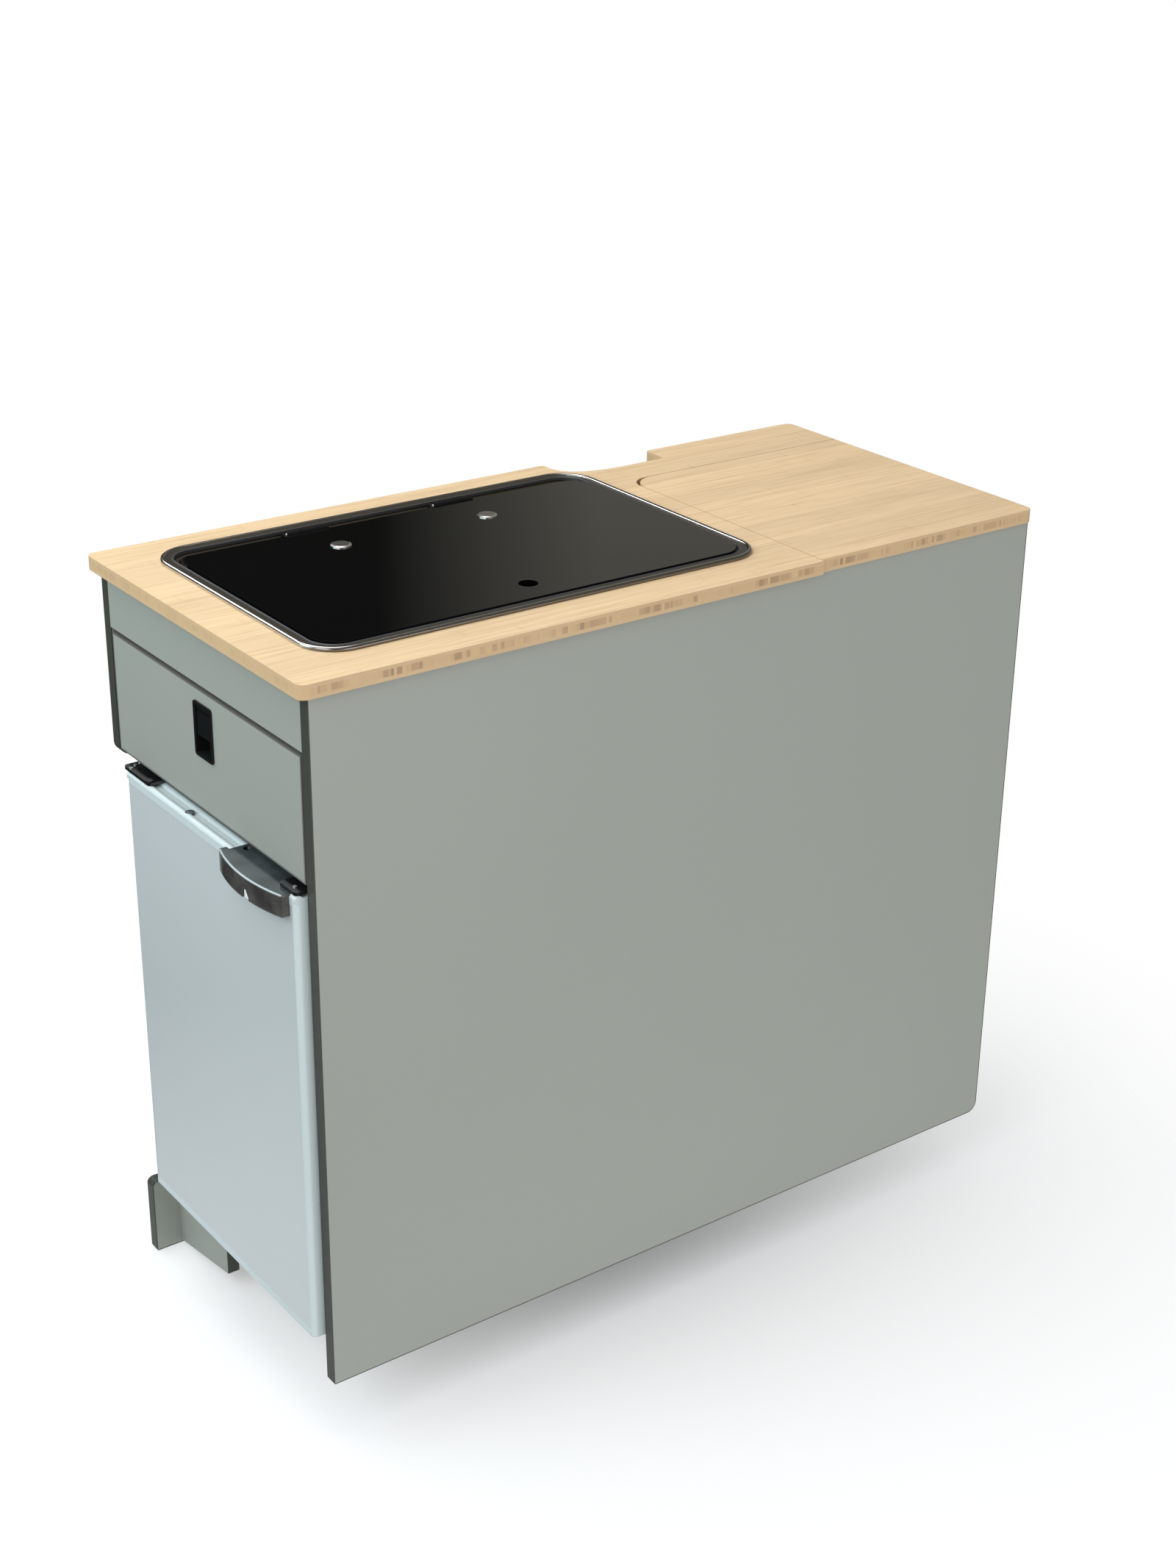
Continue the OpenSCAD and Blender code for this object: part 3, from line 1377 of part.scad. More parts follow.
// Strainer in the bowl, and the trap with its outlet to the wall side
module sink_waste() {
    cup_z = bowl_z - 7;
    trap_z = waste_z - 24;
    color(C_STEEL) placed() difference() {
        union() {
            rod_z([bowl_mx, bowl_my, bowl_z], 2, drain_r + 9);
            rod_z([bowl_mx, bowl_my, cup_z], 7, drain_r - 0.5);
            rod_z([bowl_mx, bowl_my, trap_z], bowl_z - steel_t - trap_z, drain_r + 2);
            wall_pipe([bowl_mx, bowl_my, waste_z], waste_pipe_r, waste_tube_in);
        }
        rod_z([bowl_mx, bowl_my, cup_z], 12, drain_r - 4);
        for (a = [0 : 60 : 300]) translate([bowl_mx, bowl_my, cup_z - 5]) rotate([0, 0, a])
            translate([12, 0, 0]) cylinder(h = 6, r = 3.5);
        rod_z([bowl_mx, bowl_my, trap_z + 3], cup_z - 3 - trap_z - 3, drain_r - 1);
        rod_y([bowl_mx, bowl_my, waste_z], top_y1 - bowl_my, waste_pipe_r - waste_tube_in - waste_wall);
    }
}

aisle_side_panel();
wall_side_panel();
carcass_edging();
divider_panel();
locker_back_panel();
end_panel();
base_shelf();
locker_floor();
plinth_board();
drawer_shelf();
fascia_strip();
worktop();
hatch_rest_batten();
floor_brackets();
hatch_lid();
hatch_hinge_fixed_cups();
hatch_hinge_lid_cups();
hatch_hinge_links();
drawer_front();
drawer_front_edging();
drawer_boards();
drawer_bottom();
runner_fixed_rails();
runner_middle_rails();
runner_drawer_rails();
latch_bezel();
latch_paddle();
latch_bolt();
fridge_case();
fridge_foam();
fridge_liner();
fridge_shelf();
evaporator();
thermostat_knob();
compressor();
fridge_brackets();
fridge_screws();
fridge_door_shell();
fridge_door_liner();
fridge_gasket();
fridge_decor_panel();
fridge_handle();
fridge_handle_lever();
sink_hob_tray();
sink_bowl();
lid_seal();
glass_lid();
glass_hinge_arms();
glass_hinge_brackets();
glass_caps();
burners();
burner_caps();
pan_supports();
hob_knob_large();
hob_knob_small();
gas_rail();
tap_base();
tap_spout();
tap_lever();
sink_waste();
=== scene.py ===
"""Looks of the campervan kitchen unit: materials, rounded edges, small trim, light and camera."""
import math

import bmesh
import bpy
from mathutils import Matrix, Vector


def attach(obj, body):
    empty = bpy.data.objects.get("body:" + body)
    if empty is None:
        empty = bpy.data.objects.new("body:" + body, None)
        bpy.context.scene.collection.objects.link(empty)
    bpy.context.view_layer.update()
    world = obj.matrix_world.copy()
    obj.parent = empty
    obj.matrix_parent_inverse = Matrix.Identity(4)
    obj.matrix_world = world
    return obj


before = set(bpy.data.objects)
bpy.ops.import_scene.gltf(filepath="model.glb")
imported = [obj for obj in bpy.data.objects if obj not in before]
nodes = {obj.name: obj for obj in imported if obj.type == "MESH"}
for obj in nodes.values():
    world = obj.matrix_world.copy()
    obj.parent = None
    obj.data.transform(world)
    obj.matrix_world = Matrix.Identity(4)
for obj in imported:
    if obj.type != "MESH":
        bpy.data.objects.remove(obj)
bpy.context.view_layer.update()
scene = bpy.context.scene

# Shift from the unit's own millimetre frame (x from the panels' front edge, y from the aisle
# side, z from the aisle foot) to the row frame
SHIFT = Vector((-478.5, -229.5, 77.0))

# Places in the unit's own frame
TOP_Z = 837
BOARD_MID_Z = 829.2
GROOVE_Z = 597.5
GLASS_AXIS_Y, GLASS_AXIS_Z = 391, 841.5
TRAY_MID_X, TRAY_MID_Y = 329, 235
HANDLE_RECESS_X, HANDLE_RECESS_Y = 2.6, 145.4

# Half sides of the rectangle between the centres of the tray's corners, in metres
TRAY_CORE = (0.244, 0.144)


def at(x, y, z):
    """A point of the unit's own frame, in metres in the row frame."""
    return (Vector((x, y, z)) + SHIFT) / 1000


class Shader:
    """Builds a node material around one Principled shader."""

    def __init__(self, name, color, rough=0.5, metal=0.0, coat=0.0, spec=0.5):
        self.mat = bpy.data.materials.new(name)
        self.mat.use_nodes = True
        self.tree = self.mat.node_tree
        self.bsdf = self.tree.nodes["Principled BSDF"]
        self.bsdf.inputs["Base Color"].default_value = (*color, 1)
        self.bsdf.inputs["Roughness"].default_value = rough
        self.bsdf.inputs["Metallic"].default_value = metal
        self.bsdf.inputs["Coat Weight"].default_value = coat
        self.bsdf.inputs["Coat Roughness"].default_value = 0.08
        self.bsdf.inputs["Specular IOR Level"].default_value = spec
        self.coord = self.node("ShaderNodeTexCoord").outputs["Object"]

    def node(self, kind, **values):
        n = self.tree.nodes.new(kind)
        for key, value in values.items():
            if hasattr(n, key):
                setattr(n, key, value)
            else:
                n.inputs[key].default_value = value
        return n

    def link(self, a, b):
        self.tree.links.new(a, b)

    def math(self, op, a, b=0.0):
        n = self.node("ShaderNodeMath", operation=op)
        for socket, value in zip(n.inputs, (a, b)):
            if isinstance(value, (int, float)):
                socket.default_value = value
            else:
                self.link(value, socket)
        return n.outputs[0]

    def axes(self, vector):
        """The x, y and z of a vector."""
        n = self.node("ShaderNodeSeparateXYZ")
        self.link(vector, n.inputs[0])
        return n.outputs

    def facing(self):
        """The x, y and z of the surface's normal."""
        return self.axes(self.node("ShaderNodeNewGeometry").outputs["Normal"])

    def length(self, a, b):
        """Length of a vector with two parts."""
        return self.math("SQRT", self.math("ADD", self.math("MULTIPLY", a, a), self.math("MULTIPLY", b, b)))

    def scaled(self, scale):
        n = self.node("ShaderNodeMapping", Scale=scale)
        self.link(self.coord, n.inputs["Vector"])
        return n.outputs["Vector"]

    def noise(self, scale, vector=None, detail=4.0, rough=0.55):
        n = self.node("ShaderNodeTexNoise", Scale=scale, Detail=detail, Roughness=rough)
        self.link(vector or self.coord, n.inputs["Vector"])
        return n.outputs["Fac"]

    def span(self, value, low, high, out_low, out_high):
        """Maps a value from one span to another, held at the ends."""
        n = self.node("ShaderNodeMapRange")
        for key, v in (("From Min", low), ("From Max", high), ("To Min", out_low), ("To Max", out_high)):
            n.inputs[key].default_value = v
        self.link(value, n.inputs["Value"])
        return n.outputs["Result"]

    def white_noise(self, value):
        n = self.node("ShaderNodeTexWhiteNoise", noise_dimensions="1D")
        self.link(value, n.inputs["W"])
        return n.outputs["Value"]

    def ramp(self, fac, stops):
        n = self.node("ShaderNodeValToRGB")
        while len(n.color_ramp.elements) < len(stops):
            n.color_ramp.elements.new(0.5)
        for e, (pos, col) in zip(n.color_ramp.elements, stops):
            e.position = pos
            e.color = (*col, 1)
        self.link(fac, n.inputs["Fac"])
        return n.outputs["Color"]

    def mix(self, fac, a, b):
        n = self.node("ShaderNodeMix", data_type="RGBA")
        for socket, value in ((n.inputs[0], fac), (n.inputs[6], a), (n.inputs[7], b)):
            if isinstance(value, tuple):
                socket.default_value = (*value, 1)
            else:
                self.link(value, socket)
        return n.outputs[2]

    def paint(self, socket):
        self.link(socket, self.bsdf.inputs["Base Color"])

    def metallic(self, socket):
        self.link(socket, self.bsdf.inputs["Metallic"])

    def roughness(self, socket):
        self.link(socket, self.bsdf.inputs["Roughness"])

    def wear(self, low, high, scale=8.0, vector=None):
        """Roughness that drifts between two values."""
        self.roughness(self.span(self.noise(scale, vector), 0.0, 1.0, low, high))

    def bump(self, height, strength, distance=0.0005, normal=None):
        n = self.node("ShaderNodeBump", Strength=strength, Distance=distance)
        self.link(height, n.inputs["Height"])
        if normal is not None:
            self.link(normal, n.inputs["Normal"])
        self.link(n.outputs["Normal"], self.bsdf.inputs["Normal"])


def tint(c, k):
    return tuple(min(1.0, v * k) for v in c)


def plain(name, color, rough, metal=0.0, coat=0.0, grain=900.0, depth=0.05, spread=0.06, spec=0.5):
    """A plain finish: faint tone drift, drifting roughness and fine bump."""
    s = Shader(name, color, rough, metal, coat, spec)
    s.paint(s.mix(s.noise(6.0), tint(color, 1 - spread), tint(color, 1 + spread)))
    s.wear(max(0.02, rough * 0.85), min(1.0, rough * 1.15), 14.0)
    s.bump(s.noise(grain, detail=2.0), depth)
    return s.mat


def brushed(name, color, rough):
    """Steel brushed along X."""
    s = Shader(name, color, rough, 1.0)
    along = s.scaled((4, 900, 900))
    lines = s.noise(1.0, along, detail=3.0)
    s.paint(s.mix(lines, tint(color, 0.9), tint(color, 1.06)))
    s.wear(rough * 0.75, rough * 1.3, 1.0, along)
    s.bump(lines, 0.03)
    return s.mat


def bamboo():
    """Three-layer bamboo board: lanes with fine streaks along X, standing blocks in the core of its edges."""
    pale, warm, deep = (0.685, 0.51, 0.31), (0.56, 0.385, 0.21), (0.37, 0.225, 0.105)
    outer_layer = (0.49, 0.335, 0.185)
    lane_w, strip_l, block_w = 0.0195, 0.31, 0.0052  # metres
    ahead = 3.0  # keeps the counts of lanes and blocks above zero
    s = Shader("bamboo", pale, 0.42, spec=0.35)
    x, y, z = s.axes(s.coord)
    lane = s.math("MULTIPLY", s.math("ADD", y, ahead), 1 / lane_w)
    pick = s.white_noise(s.math("FLOOR", lane))
    tone = s.ramp(pick, [(0.0, tint(pale, 0.93)), (0.5, tint(pale, 0.98)), (1.0, tint(pale, 1.04))])
    fibre = s.noise(1.0, s.scaled((14, 620, 620)), detail=5.0, rough=0.6)
    streak = s.noise(1.0, s.scaled((6, 150, 150)), detail=4.0, rough=0.65)
    broad = s.noise(1.0, s.scaled((1.6, 42, 42)), detail=2.0)
    wood = s.mix(s.span(fibre, 0.42, 0.66, 0.0, 0.50), tone, tint(warm, 0.9))
    wood = s.mix(s.span(streak, 0.50, 0.68, 0.0, 0.60), wood, tint(warm, 0.88))
    wood = s.mix(s.span(broad, 0.45, 0.8, 0.0, 0.18), wood, warm)
    strip = s.math("ADD", s.math("MULTIPLY", x, 1 / strip_l), s.math("MULTIPLY", pick, 7.3))
    knuckle = s.math("ABSOLUTE", s.math("SUBTRACT", s.math("FRACT", strip), 0.5))
    wood = s.mix(s.span(knuckle, 0.0, 0.012, 0.13, 0.0), wood, deep)
    seam = s.math("ABSOLUTE", s.math("SUBTRACT", s.math("FRACT", lane), 0.5))
    wood = s.mix(s.span(seam, 0.47, 0.5, 0.0, 0.12), wood, deep)
    # Edges: a warmer outer layer, and blocks of varying width and tone in the core
    lean_x, _, rise = s.facing()
    upright = s.span(s.math("ABSOLUTE", rise), 0.35, 0.85, 1.0, 0.0)
    wood = s.mix(s.math("MULTIPLY", upright, 0.75), wood, outer_layer)
    run = s.math("ADD", s.math("ADD", x, y), ahead)
    warp = s.noise(1.0, s.scaled((36, 36, 0)), detail=1.0)
    warped = s.math("ADD", s.math("MULTIPLY", run, 1 / block_w), s.math("MULTIPLY", warp, 9.0))
    block = s.white_noise(s.math("FLOOR", warped))
    core = s.ramp(block, [(0.0, (0.54, 0.37, 0.20)), (0.55, (0.50, 0.335, 0.18)), (0.8, (0.40, 0.26, 0.145)),
                          (1.0, (0.27, 0.175, 0.10))])
    patch = s.span(s.noise(1.0, s.scaled((22, 22, 0)), detail=1.0), 0.34, 0.52, 0.3, 1.0)
    patch = s.math("MULTIPLY", patch, s.span(s.math("ABSOLUTE", lean_x), 0.6, 0.9, 1.0, 0.3))
    level = s.math("ABSOLUTE", s.math("SUBTRACT", z, at(0, 0, BOARD_MID_Z).z))
    inside = s.math("MULTIPLY", upright, s.span(level, 0.0034, 0.0042, 1.0, 0.0))
    wood = s.mix(s.math("MULTIPLY", s.math("MULTIPLY", inside, patch), 0.85), wood, core)
    s.paint(wood)
    s.wear(0.38, 0.55, 30.0)
    s.bump(fibre, 0.14, 0.0003)
    return s.mat


def laminate():
    """Grey-green laminate with a fine, even texture and faint handling marks."""
    color = (0.285, 0.302, 0.270)
    s = Shader("laminate", color, 0.38, spec=0.4)
    cloud = s.mix(s.noise(1.1, detail=2.0), tint(color, 0.965), tint(color, 1.035))
    speck = s.noise(900.0, detail=1.0)
    s.paint(s.mix(s.span(speck, 0.35, 0.65, 0.0, 0.08), cloud, tint(color, 1.25)))
    s.wear(0.36, 0.47, 5.0)
    s.bump(s.noise(1400.0, detail=2.0), 0.06, 0.0002)
    return s.mat


def polished_rim():
    """Polished steel: a bright outer bead with a painted dark reflection on its aisle and locker sides, a
    level band and lip inside it painted dark as painted reflection and made duller, a satin well.
    """
    color, painted_dark_reflection = (0.62, 0.61, 0.60), (0.13, 0.115, 0.105)
    band_painted_reflection, lip_painted_reflection = (0.046, 0.038, 0.028), (0.055, 0.056, 0.057)
    s = Shader("rim", color, 0.14, 1.0)
    place = s.axes(s.coord)
    lean_x, lean_y, rise = s.facing()
    level = s.math("SUBTRACT", place[2], at(0, 0, TOP_Z).z)
    # Painted reflection: the bead's sides towards the aisle and the locker are painted the dark brown-grey of
    # a dim room that they would mirror
    lines = s.noise(1.0, s.scaled((60, 60, 900)), detail=3.0)
    shine = s.mix(lines, tint(color, 0.93), tint(color, 1.05))
    front = s.span(lean_y, -0.12, -0.5, 0.0, 0.8)
    far = s.span(lean_x, 0.12, 0.5, 0.0, 0.8)
    shine = s.mix(s.math("MAXIMUM", front, far), shine, painted_dark_reflection)
    # Level band: flat, lower than the bead, higher than the ledge under the glass
    flat = s.span(rise, 0.985, 0.998, 0.0, 1.0)
    low = s.span(level, 0.0031, 0.0033, 1.0, 0.0)
    high = s.span(level, -0.0025, -0.0035, 1.0, 0.0)
    band = s.math("MULTIPLY", s.math("MULTIPLY", flat, low), high)
    # Lip beside the glass: within the inner edge, measured across the rim's rounded rectangle
    past = []
    for part, mid, core in zip(place, at(TRAY_MID_X, TRAY_MID_Y, 0), TRAY_CORE):
        gap = s.math("SUBTRACT", s.math("ABSOLUTE", s.math("SUBTRACT", part, mid)), core)
        past.append(s.math("MAXIMUM", gap, 0.0))
    inner = s.span(s.length(*past), 0.0330, 0.0336, 1.0, 0.0)
    lip = s.math("MULTIPLY", inner, s.span(level, 0.0, 0.0008, 0.0, 1.0))
    # Painted reflection: the band is painted dark brown and the lip dark grey, standing in for a dim room
    # that they mirror; both are also made less metallic and rougher
    s.paint(s.mix(lip, s.mix(band, shine, band_painted_reflection), lip_painted_reflection))
    painted_dark_mask = s.math("MAXIMUM", band, lip)
    well = s.span(level, -0.010, -0.014, 0.0, 1.0)
    s.metallic(s.math("SUBTRACT", s.span(well, 0.0, 1.0, 1.0, 0.72), s.math("MULTIPLY", painted_dark_mask, 0.75)))
    rough = s.math("ADD", s.span(lines, 0.0, 1.0, 0.17, 0.27), s.math("MULTIPLY", well, 0.10))
    s.roughness(s.math("ADD", rough, s.math("MULTIPLY", painted_dark_mask, 0.15)))
    s.bump(lines, 0.02)
    return s.mat


def ply():
    """Light plywood with its grain along X."""
    color = (0.62, 0.46, 0.29)
    s = Shader("ply", color, 0.6)
    grain = s.noise(1.0, s.scaled((6, 220, 30)), detail=5.0)
    s.paint(s.mix(grain, tint(color, 0.8), tint(color, 1.12)))
    s.wear(0.5, 0.7)
    s.bump(grain, 0.15)
    return s.mat


def dark_glass():
    """Glass that is printed black below, with a clear mirror face."""
    s = Shader("dark_glass", (0.002, 0.002, 0.002), 0.03, coat=0.4, spec=0.6)
    s.paint(s.mix(s.noise(2.0), (0.0012, 0.0012, 0.0014), (0.0026, 0.0026, 0.003)))
    s.wear(0.02, 0.045, 6.0)
    s.bump(s.noise(40.0, detail=1.0), 0.004)
    return s.mat


def smoked():
    """Smoked plastic with painted light: a bluish tone painted on top and a browner one on the upright
    curtain, and a painted highlight along the edge between.
    """
    painted_ridge_highlight, shadow = (0.62, 0.72, 0.74), (0.006, 0.007, 0.008)
    s = Shader("smoke", (0.05, 0.05, 0.05), 0.14, coat=0.9)
    rounded = s.node("ShaderNodeBevel", samples=8, Radius=0.0044).outputs["Normal"]
    lean, _, rise = s.axes(rounded)
    x, y, _ = s.axes(s.coord)
    haze = s.span(s.noise(38.0, detail=4.0), 0.35, 0.65, 0.0, 1.0)
    # Painted light: top and curtain get different tones by facing, bluish where the rounded normal points up
    # and browner on the upright curtain
    top = s.mix(haze, (0.026, 0.033, 0.036), (0.060, 0.072, 0.077))
    curtain = s.mix(haze, (0.036, 0.035, 0.033), (0.082, 0.078, 0.073))
    body = s.mix(s.span(rise, 0.75, 0.98, 0.0, 1.0), curtain, top)
    # Painted highlight along the cap's top front edge, where the rounded normal leans forward and up
    ridge = s.math("MULTIPLY", s.span(lean, -0.2, -0.4, 0.0, 1.0), s.span(rise, 0.4, 0.62, 0.0, 1.0))
    ridge = s.math("MULTIPLY", ridge, s.span(x, at(-8, 0, 0).x, at(-6, 0, 0).x, 1.0, 0.0))
    # Painted shade: the screw recess in the cap over the door's top is painted near-black
    hole = at(HANDLE_RECESS_X, HANDLE_RECESS_Y, 0)
    off = s.length(s.math("SUBTRACT", x, hole.x), s.math("SUBTRACT", y, hole.y))
    recess = s.span(off, 0.0044, 0.0050, 1.0, 0.0)
    s.paint(s.mix(recess, s.mix(ridge, body, painted_ridge_highlight), shadow))
    s.wear(0.11, 0.20, 20.0)
    s.bump(s.noise(300.0, detail=2.0), 0.02, normal=rounded)
    return s.mat


def dark_hinge():
    """Hinge brackets painted near-black as a painted reflection of a dark room; their pins, close about the
    hinge axis, are bright.
    """
    s = Shader("dark_hinge", (0.005, 0.005, 0.005), 0.5, spec=0.15)
    _, y, z = s.axes(s.coord)
    axis = at(0, GLASS_AXIS_Y, GLASS_AXIS_Z)
    off = s.length(s.math("SUBTRACT", y, axis.y), s.math("SUBTRACT", z, axis.z))
    pin = s.span(off, 0.0022, 0.0024, 1.0, 0.0)
    s.paint(s.mix(pin, s.mix(s.noise(9.0), (0.004, 0.004, 0.004), (0.006, 0.006, 0.006)), (0.9, 0.9, 0.88)))
    s.metallic(pin)
    worn = s.math("ADD", pin, s.math("MULTIPLY", s.noise(30.0), 0.1))
    s.roughness(s.span(worn, 0.0, 1.1, 0.55, 0.22))
    s.bump(s.noise(900.0, detail=2.0), 0.05)
    return s.mat


M = {
    "bamboo": bamboo(),
    "laminate": laminate(),
    "ply": ply(),
    "edge": plain("edge_band", (0.050, 0.053, 0.044), 0.42, spec=0.35),
    # Painted light: the drawer front's edging is the carcass's charcoal band drawn lighter, for the light on
    # its top face
    "drawer_edge": plain("drawer_edge_band", (0.13, 0.128, 0.122), 0.34),
    "zinc": plain("zinc", (0.52, 0.53, 0.55), 0.42, 0.9),
    "steel": brushed("steel", (0.62, 0.61, 0.60), 0.24),
    "rim": polished_rim(),
    "chrome": plain("chrome", (0.85, 0.85, 0.86), 0.06, 1.0, spread=0.01, depth=0.01),
    "cap": plain("cap", (0.76, 0.745, 0.72), 0.27, 1.0, spread=0.03, depth=0.02),
    "screw": plain("screw", (0.80, 0.80, 0.80), 0.28, 1.0, spread=0.02),
    "black": plain("black_plastic", (0.006, 0.007, 0.007), 0.36, spec=0.35),
    "matte_black": plain("matte_black", (0.010, 0.010, 0.010), 0.5, spec=0.3),
    "gloss_black": plain("gloss_black", (0.006, 0.006, 0.007), 0.14, coat=0.6),
    "enamel": plain("enamel", (0.012, 0.012, 0.013), 0.22, coat=0.5),
    "white": plain("white_lacquer", (0.52, 0.59, 0.59), 0.34, coat=0.25, spread=0.01, depth=0.02),
    "liner": plain("white_plastic", (0.78, 0.80, 0.80), 0.4, spread=0.02),
    "decor": plain("decor", (0.496, 0.532, 0.534), 0.12, coat=0.5, spread=0.02, depth=0.01),
    "smoke": smoked(),
    "rubber": plain("rubber", (0.012, 0.012, 0.012), 0.6),
    "grey_rubber": plain("grey_rubber", (0.36, 0.38, 0.38), 0.6),
    "foam": plain("foam", (0.75, 0.68, 0.45), 0.9, grain=300.0, depth=0.3),
    "alu": plain("aluminium", (0.60, 0.60, 0.61), 0.35, 1.0),
    "brass": plain("brass", (0.62, 0.45, 0.19), 0.32, 1.0),
    "glass": dark_glass(),
    "dark_hinge": dark_hinge(),
    "case": plain("case", (0.42, 0.43, 0.44), 0.4, 0.3),
    "tab": plain("pale_tab", (0.70, 0.71, 0.70), 0.35, spread=0.02),
    "plug": plain("groove_plug", (0.085, 0.10, 0.105), 0.4),
}

FINISH = {
    "bamboo": "worktop hatch_lid",
    "laminate": "aisle_side_panel wall_side_panel divider_panel locker_back_panel end_panel base_shelf "
                "locker_floor plinth_board drawer_shelf fascia_strip drawer_front",
    "ply": "hatch_rest_batten drawer_boards drawer_bottom",
    "edge": "carcass_edging",
    "drawer_edge": "drawer_front_edging",
    "zinc": "floor_brackets hatch_hinge_fixed_cups hatch_hinge_lid_cups runner_fixed_rails "
            "runner_middle_rails runner_drawer_rails latch_bolt",
    "steel": "hatch_hinge_links sink_waste sink_bowl",
    "rim": "sink_hob_tray",
    "chrome": "tap_base tap_spout tap_lever",
    "cap": "glass_caps",
    "screw": "fridge_screws",
    "black": "latch_bezel latch_paddle thermostat_knob hob_knob_large hob_knob_small fridge_handle_lever",
    "matte_black": "compressor",
    "dark_hinge": "glass_hinge_brackets glass_hinge_arms",
    "gloss_black": "fridge_brackets",
    "enamel": "burner_caps pan_supports",
    "white": "fridge_door_shell",
    "liner": "fridge_liner fridge_door_liner fridge_shelf",
    "decor": "fridge_decor_panel",
    "smoke": "fridge_handle",
    "rubber": "lid_seal",
    "grey_rubber": "fridge_gasket",
    "foam": "fridge_foam",
    "alu": "evaporator burners",
    "brass": "gas_rail",
    "glass": "glass_lid",
    "case": "fridge_case",
}

for key, names in FINISH.items():
    for name in names.split():
        obj = nodes[name]
        if not obj.data.materials:
            obj.data.materials.append(M[key])
        for slot in obj.material_slots:
            slot.link = "OBJECT"
            slot.material = M[key]

# Edge radii in metres; the bevel rounds what is drawn and leaves the node's mesh as it is
ROUNDED = {
    "worktop": 0.0026, "hatch_lid": 0.0026, "latch_bezel": 0.0008, "latch_paddle": 0.0006,
    "fridge_handle": 0.0022, "fridge_brackets": 0.0009,
    "aisle_side_panel": 0.0002, "drawer_front": 0.0002, "fascia_strip": 0.0004,
    "fridge_decor_panel": 0.0003, "carcass_edging": 0.0003, "drawer_front_edging": 0.0003,
    "glass_lid": 0.0006, "glass_hinge_arms": 0.0004, "glass_hinge_brackets": 0.0006,
    "hob_knob_large": 0.001, "hob_knob_small": 0.001, "floor_brackets": 0.0004,
    "plinth_board": 0.0002, "wall_side_panel": 0.0002,
}
for name, width in ROUNDED.items():
    soften = nodes[name].modifiers.new("soften", "BEVEL")
    soften.width = width
    soften.segments = 3
    soften.limit_method = "ANGLE"
    soften.angle_limit = math.radians(35)


def stand(name, bm, spot, mat):
    """Turns a mesh under construction into an object that stands at a spot of the unit's frame."""
    mesh = bpy.data.meshes.new(name)
    bmesh.ops.recalc_face_normals(bm, faces=bm.faces)
    bm.to_mesh(mesh)
    bm.free()
    mesh.materials.append(mat)
    obj = bpy.data.objects.new(name, mesh)
    obj.location = at(*spot)
    scene.collection.objects.link(obj)
    return obj


def turned(name, profile, spot, mat, sides=32):
    """A solid of revolution about Z from (radius, height) steps in mm, standing at spot."""
    bm = bmesh.new()
    rings = []
    for r, z in profile:
        if r == 0:
            rings.append([bm.verts.new((0, 0, z / 1000))])
            continue
        rings.append([bm.verts.new((r / 1000 * math.cos(a), r / 1000 * math.sin(a), z / 1000))
                      for a in (2 * math.pi * i / sides for i in range(sides))])
    for low, high in zip(rings, rings[1:]):
        for i in range(sides):
            j = (i + 1) % sides
            loop = [low[i % len(low)], low[j % len(low)], high[j % len(high)], high[i % len(high)]]
            face = bm.faces.new(list(dict.fromkeys(loop)))
            face.smooth = True
    return stand(name, bm, spot, mat)


def slab(name, low, high, mat, edge):
    """A block between two corners in mm with its edges rounded."""
    bm = bmesh.new()
    half = [(b - a) / 2000 for a, b in zip(low, high)]
    verts = [bm.verts.new((sx * half[0], sy * half[1], sz * half[2]))
             for sx in (-1, 1) for sy in (-1, 1) for sz in (-1, 1)]
    for quad in ((0, 1, 3, 2), (4, 6, 7, 5), (0, 4, 5, 1), (2, 3, 7, 6), (0, 2, 6, 4), (1, 5, 7, 3)):
        bm.faces.new([verts[i] for i in quad])
    bmesh.ops.bevel(bm, geom=list(bm.edges), offset=edge / 1000, segments=3, affect="EDGES", profile=0.5)
    return stand(name, bm, [(a + b) / 2 for a, b in zip(low, high)], mat)


# Small plug between the door's two top ridges
plug = turned("door_groove_plug", [(0, 0.2), (5.3, 0.2), (5.3, 2.9), (5.0, 3.15), (0, 3.15)],
              (-5.3, 260.6, GROOVE_Z), M["plug"])
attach(plug, "fridge_door")
# Pale tab of the handle's vent, standing in the curtain's notch
tab = slab("handle_vent_tab", (-31.4, 81.7, 575.8), (-30.4, 91.8, 585.8), M["tab"], 0.4)
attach(tab, "fridge_door")

# Floor that takes the shadow near the unit and fades out around it
FLOOR_HALF, FLOOR_FADE, FLOOR_DROP = 30, 1.15, 0.0005
floor_mesh = bpy.data.meshes.new("floor")
corners = [(sx * FLOOR_HALF, sy * FLOOR_HALF, 0) for sx, sy in ((-1, -1), (1, -1), (1, 1), (-1, 1))]
floor_mesh.from_pydata(corners, [], [(0, 1, 2, 3)])
floor = bpy.data.objects.new("floor", floor_mesh)
scene.collection.objects.link(floor)
floor.location.z = -FLOOR_DROP
ground = Shader("floor", (0.93, 0.93, 0.935), 0.5, spec=0.2)
ground.paint(ground.mix(ground.noise(0.7), (0.92, 0.92, 0.925), (0.94, 0.94, 0.945)))
ground.wear(0.5, 0.65, 2.0)
reach = ground.node("ShaderNodeVectorMath", operation="LENGTH")
ground.link(ground.coord, reach.inputs[0])
fade = ground.node("ShaderNodeMixShader")
ground.link(ground.span(reach.outputs["Value"], 0.0, FLOOR_FADE, 0.0, 1.0), fade.inputs[0])
ground.link(ground.bsdf.outputs[0], fade.inputs[1])
ground.link(ground.node("ShaderNodeBsdfTransparent").outputs[0], fade.inputs[2])
ground.link(fade.outputs[0], ground.tree.nodes["Material Output"].inputs["Surface"])
floor_mesh.materials.append(ground.mat)


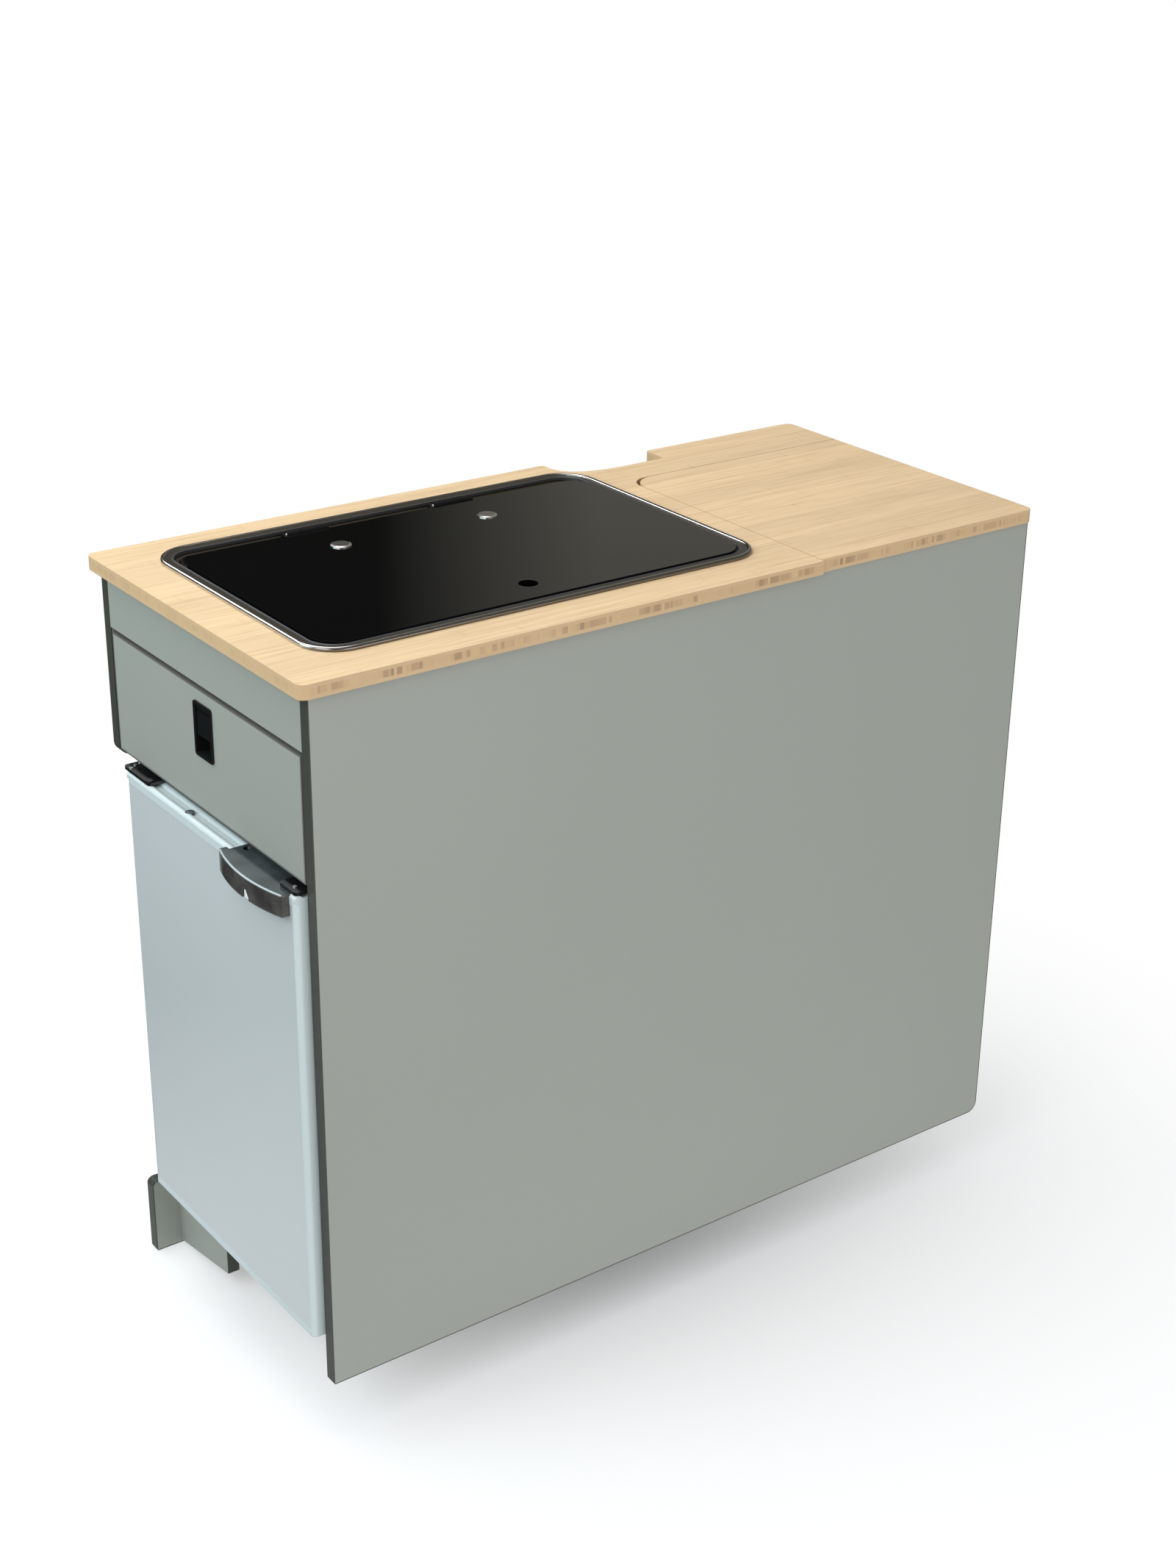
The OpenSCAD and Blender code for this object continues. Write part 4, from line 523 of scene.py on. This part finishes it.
def area(name, spot, aim, size, power, color=(1, 1, 1), size_y=None):
    """An area light at a spot, in metres in the row frame, turned to the point that it aims at."""
    data = bpy.data.lights.new(name, "AREA")
    data.energy = power
    data.color = color
    data.size = size
    if size_y:
        data.shape = "RECTANGLE"
        data.size_y = size_y
    light = bpy.data.objects.new(name, data)
    light.location = spot
    light.rotation_euler = (Vector(aim) - Vector(spot)).to_track_quat("-Z", "Y").to_euler()
    scene.collection.objects.link(light)


area("key", (-2.6, -1.2, 2.2), (0, 0, 0.5), 1.8, 39, (0.97, 0.99, 1.0))
area("aisle", (0.25, -3.0, 0.5), (0.2, 0, 0.2), 2.0, 39)
area("over", (-0.5, 0.5, 3.0), (0, 0, 0.6), 2.0, 40)
area("door", (-1.6, 0.35, 1.45), (-0.5, 0, 0.6), 0.8, 8, (0.70, 0.93, 1.0))
area("rear", (-1.1, 2.2, 2.4), (0, 0, 0.85), 2.4, 16, size_y=0.6)

world = bpy.data.worlds.new("studio")
scene.world = world
world.use_nodes = True
wt = world.node_tree
wt.nodes.clear()
path = wt.nodes.new("ShaderNodeLightPath")


def backdrop(color, strength):
    n = wt.nodes.new("ShaderNodeBackground")
    n.inputs["Color"].default_value = (*color, 1)
    n.inputs["Strength"].default_value = strength
    return n.outputs[0]


def either(fac, no, yes):
    n = wt.nodes.new("ShaderNodeMixShader")
    wt.links.new(fac, n.inputs[0])
    wt.links.new(no, n.inputs[1])
    wt.links.new(yes, n.inputs[2])
    return n.outputs[0]


# White where the camera sees past the floor, a dim room in the reflections that is lighter towards
# one side, and soft light elsewhere
LIGHT_SIDE = (0.84, -0.54, 0.0)
side = wt.nodes.new("ShaderNodeVectorMath")
side.operation = "DOT_PRODUCT"
wt.links.new(wt.nodes.new("ShaderNodeTexCoord").outputs["Generated"], side.inputs[0])
side.inputs[1].default_value = LIGHT_SIDE
shade = wt.nodes.new("ShaderNodeMapRange")
for key, value in (("From Min", -0.03), ("From Max", 0.06)):
    shade.inputs[key].default_value = value
wt.links.new(side.outputs["Value"], shade.inputs["Value"])
mirror = either(shade.outputs["Result"], backdrop((1.0, 1.0, 0.8), 0.012), backdrop((1.0, 0.97, 0.82), 0.24))
room = either(path.outputs["Is Glossy Ray"], backdrop((0.95, 0.97, 1.0), 0.56), mirror)
sky = either(path.outputs["Is Transmission Ray"], room, backdrop((1, 1, 1), 1.0))
seen = either(path.outputs["Is Camera Ray"], sky, backdrop((1, 1, 1), 1.0))
world_out = wt.nodes.new("ShaderNodeOutputWorld")
wt.links.new(seen, world_out.inputs["Surface"])

# Camera fitted to the photograph: its size, focal length and optical centre in pixels, its place in
# the unit's own frame, and its turn from +Y, its dip and its roll in degrees
PHOTO_W, PHOTO_H, FOCAL = 1600, 2133, 3220.4
CENTRE_X, CENTRE_Y = 853.6, 1041.7
EYE = (-1033.4, -1872.3, 1688.7)
YAW, PITCH, ROLL = map(math.radians, (37.25, 23.81, 1.11))
SENSOR = 36

fwd = Vector((math.sin(YAW) * math.cos(PITCH), math.cos(YAW) * math.cos(PITCH), -math.sin(PITCH)))
right = Vector((math.cos(YAW), -math.sin(YAW), 0))
up = right.cross(fwd)
rolled_right = math.cos(ROLL) * right + math.sin(ROLL) * up
rolled_up = -math.sin(ROLL) * right + math.cos(ROLL) * up
cam = bpy.data.cameras.new("camera")
cam.sensor_fit = "VERTICAL"
cam.sensor_height = SENSOR
cam.lens = FOCAL * SENSOR / PHOTO_H
cam.shift_x = (PHOTO_W / 2 - CENTRE_X) / PHOTO_H
cam.shift_y = (CENTRE_Y - PHOTO_H / 2) / PHOTO_H
camera = bpy.data.objects.new("camera", cam)
turn = Matrix((rolled_right, rolled_up, -fwd)).transposed().to_4x4()
camera.matrix_world = Matrix.Translation(at(*EYE)) @ turn
scene.collection.objects.link(camera)
scene.camera = camera
scene.view_settings.view_transform = "Standard"
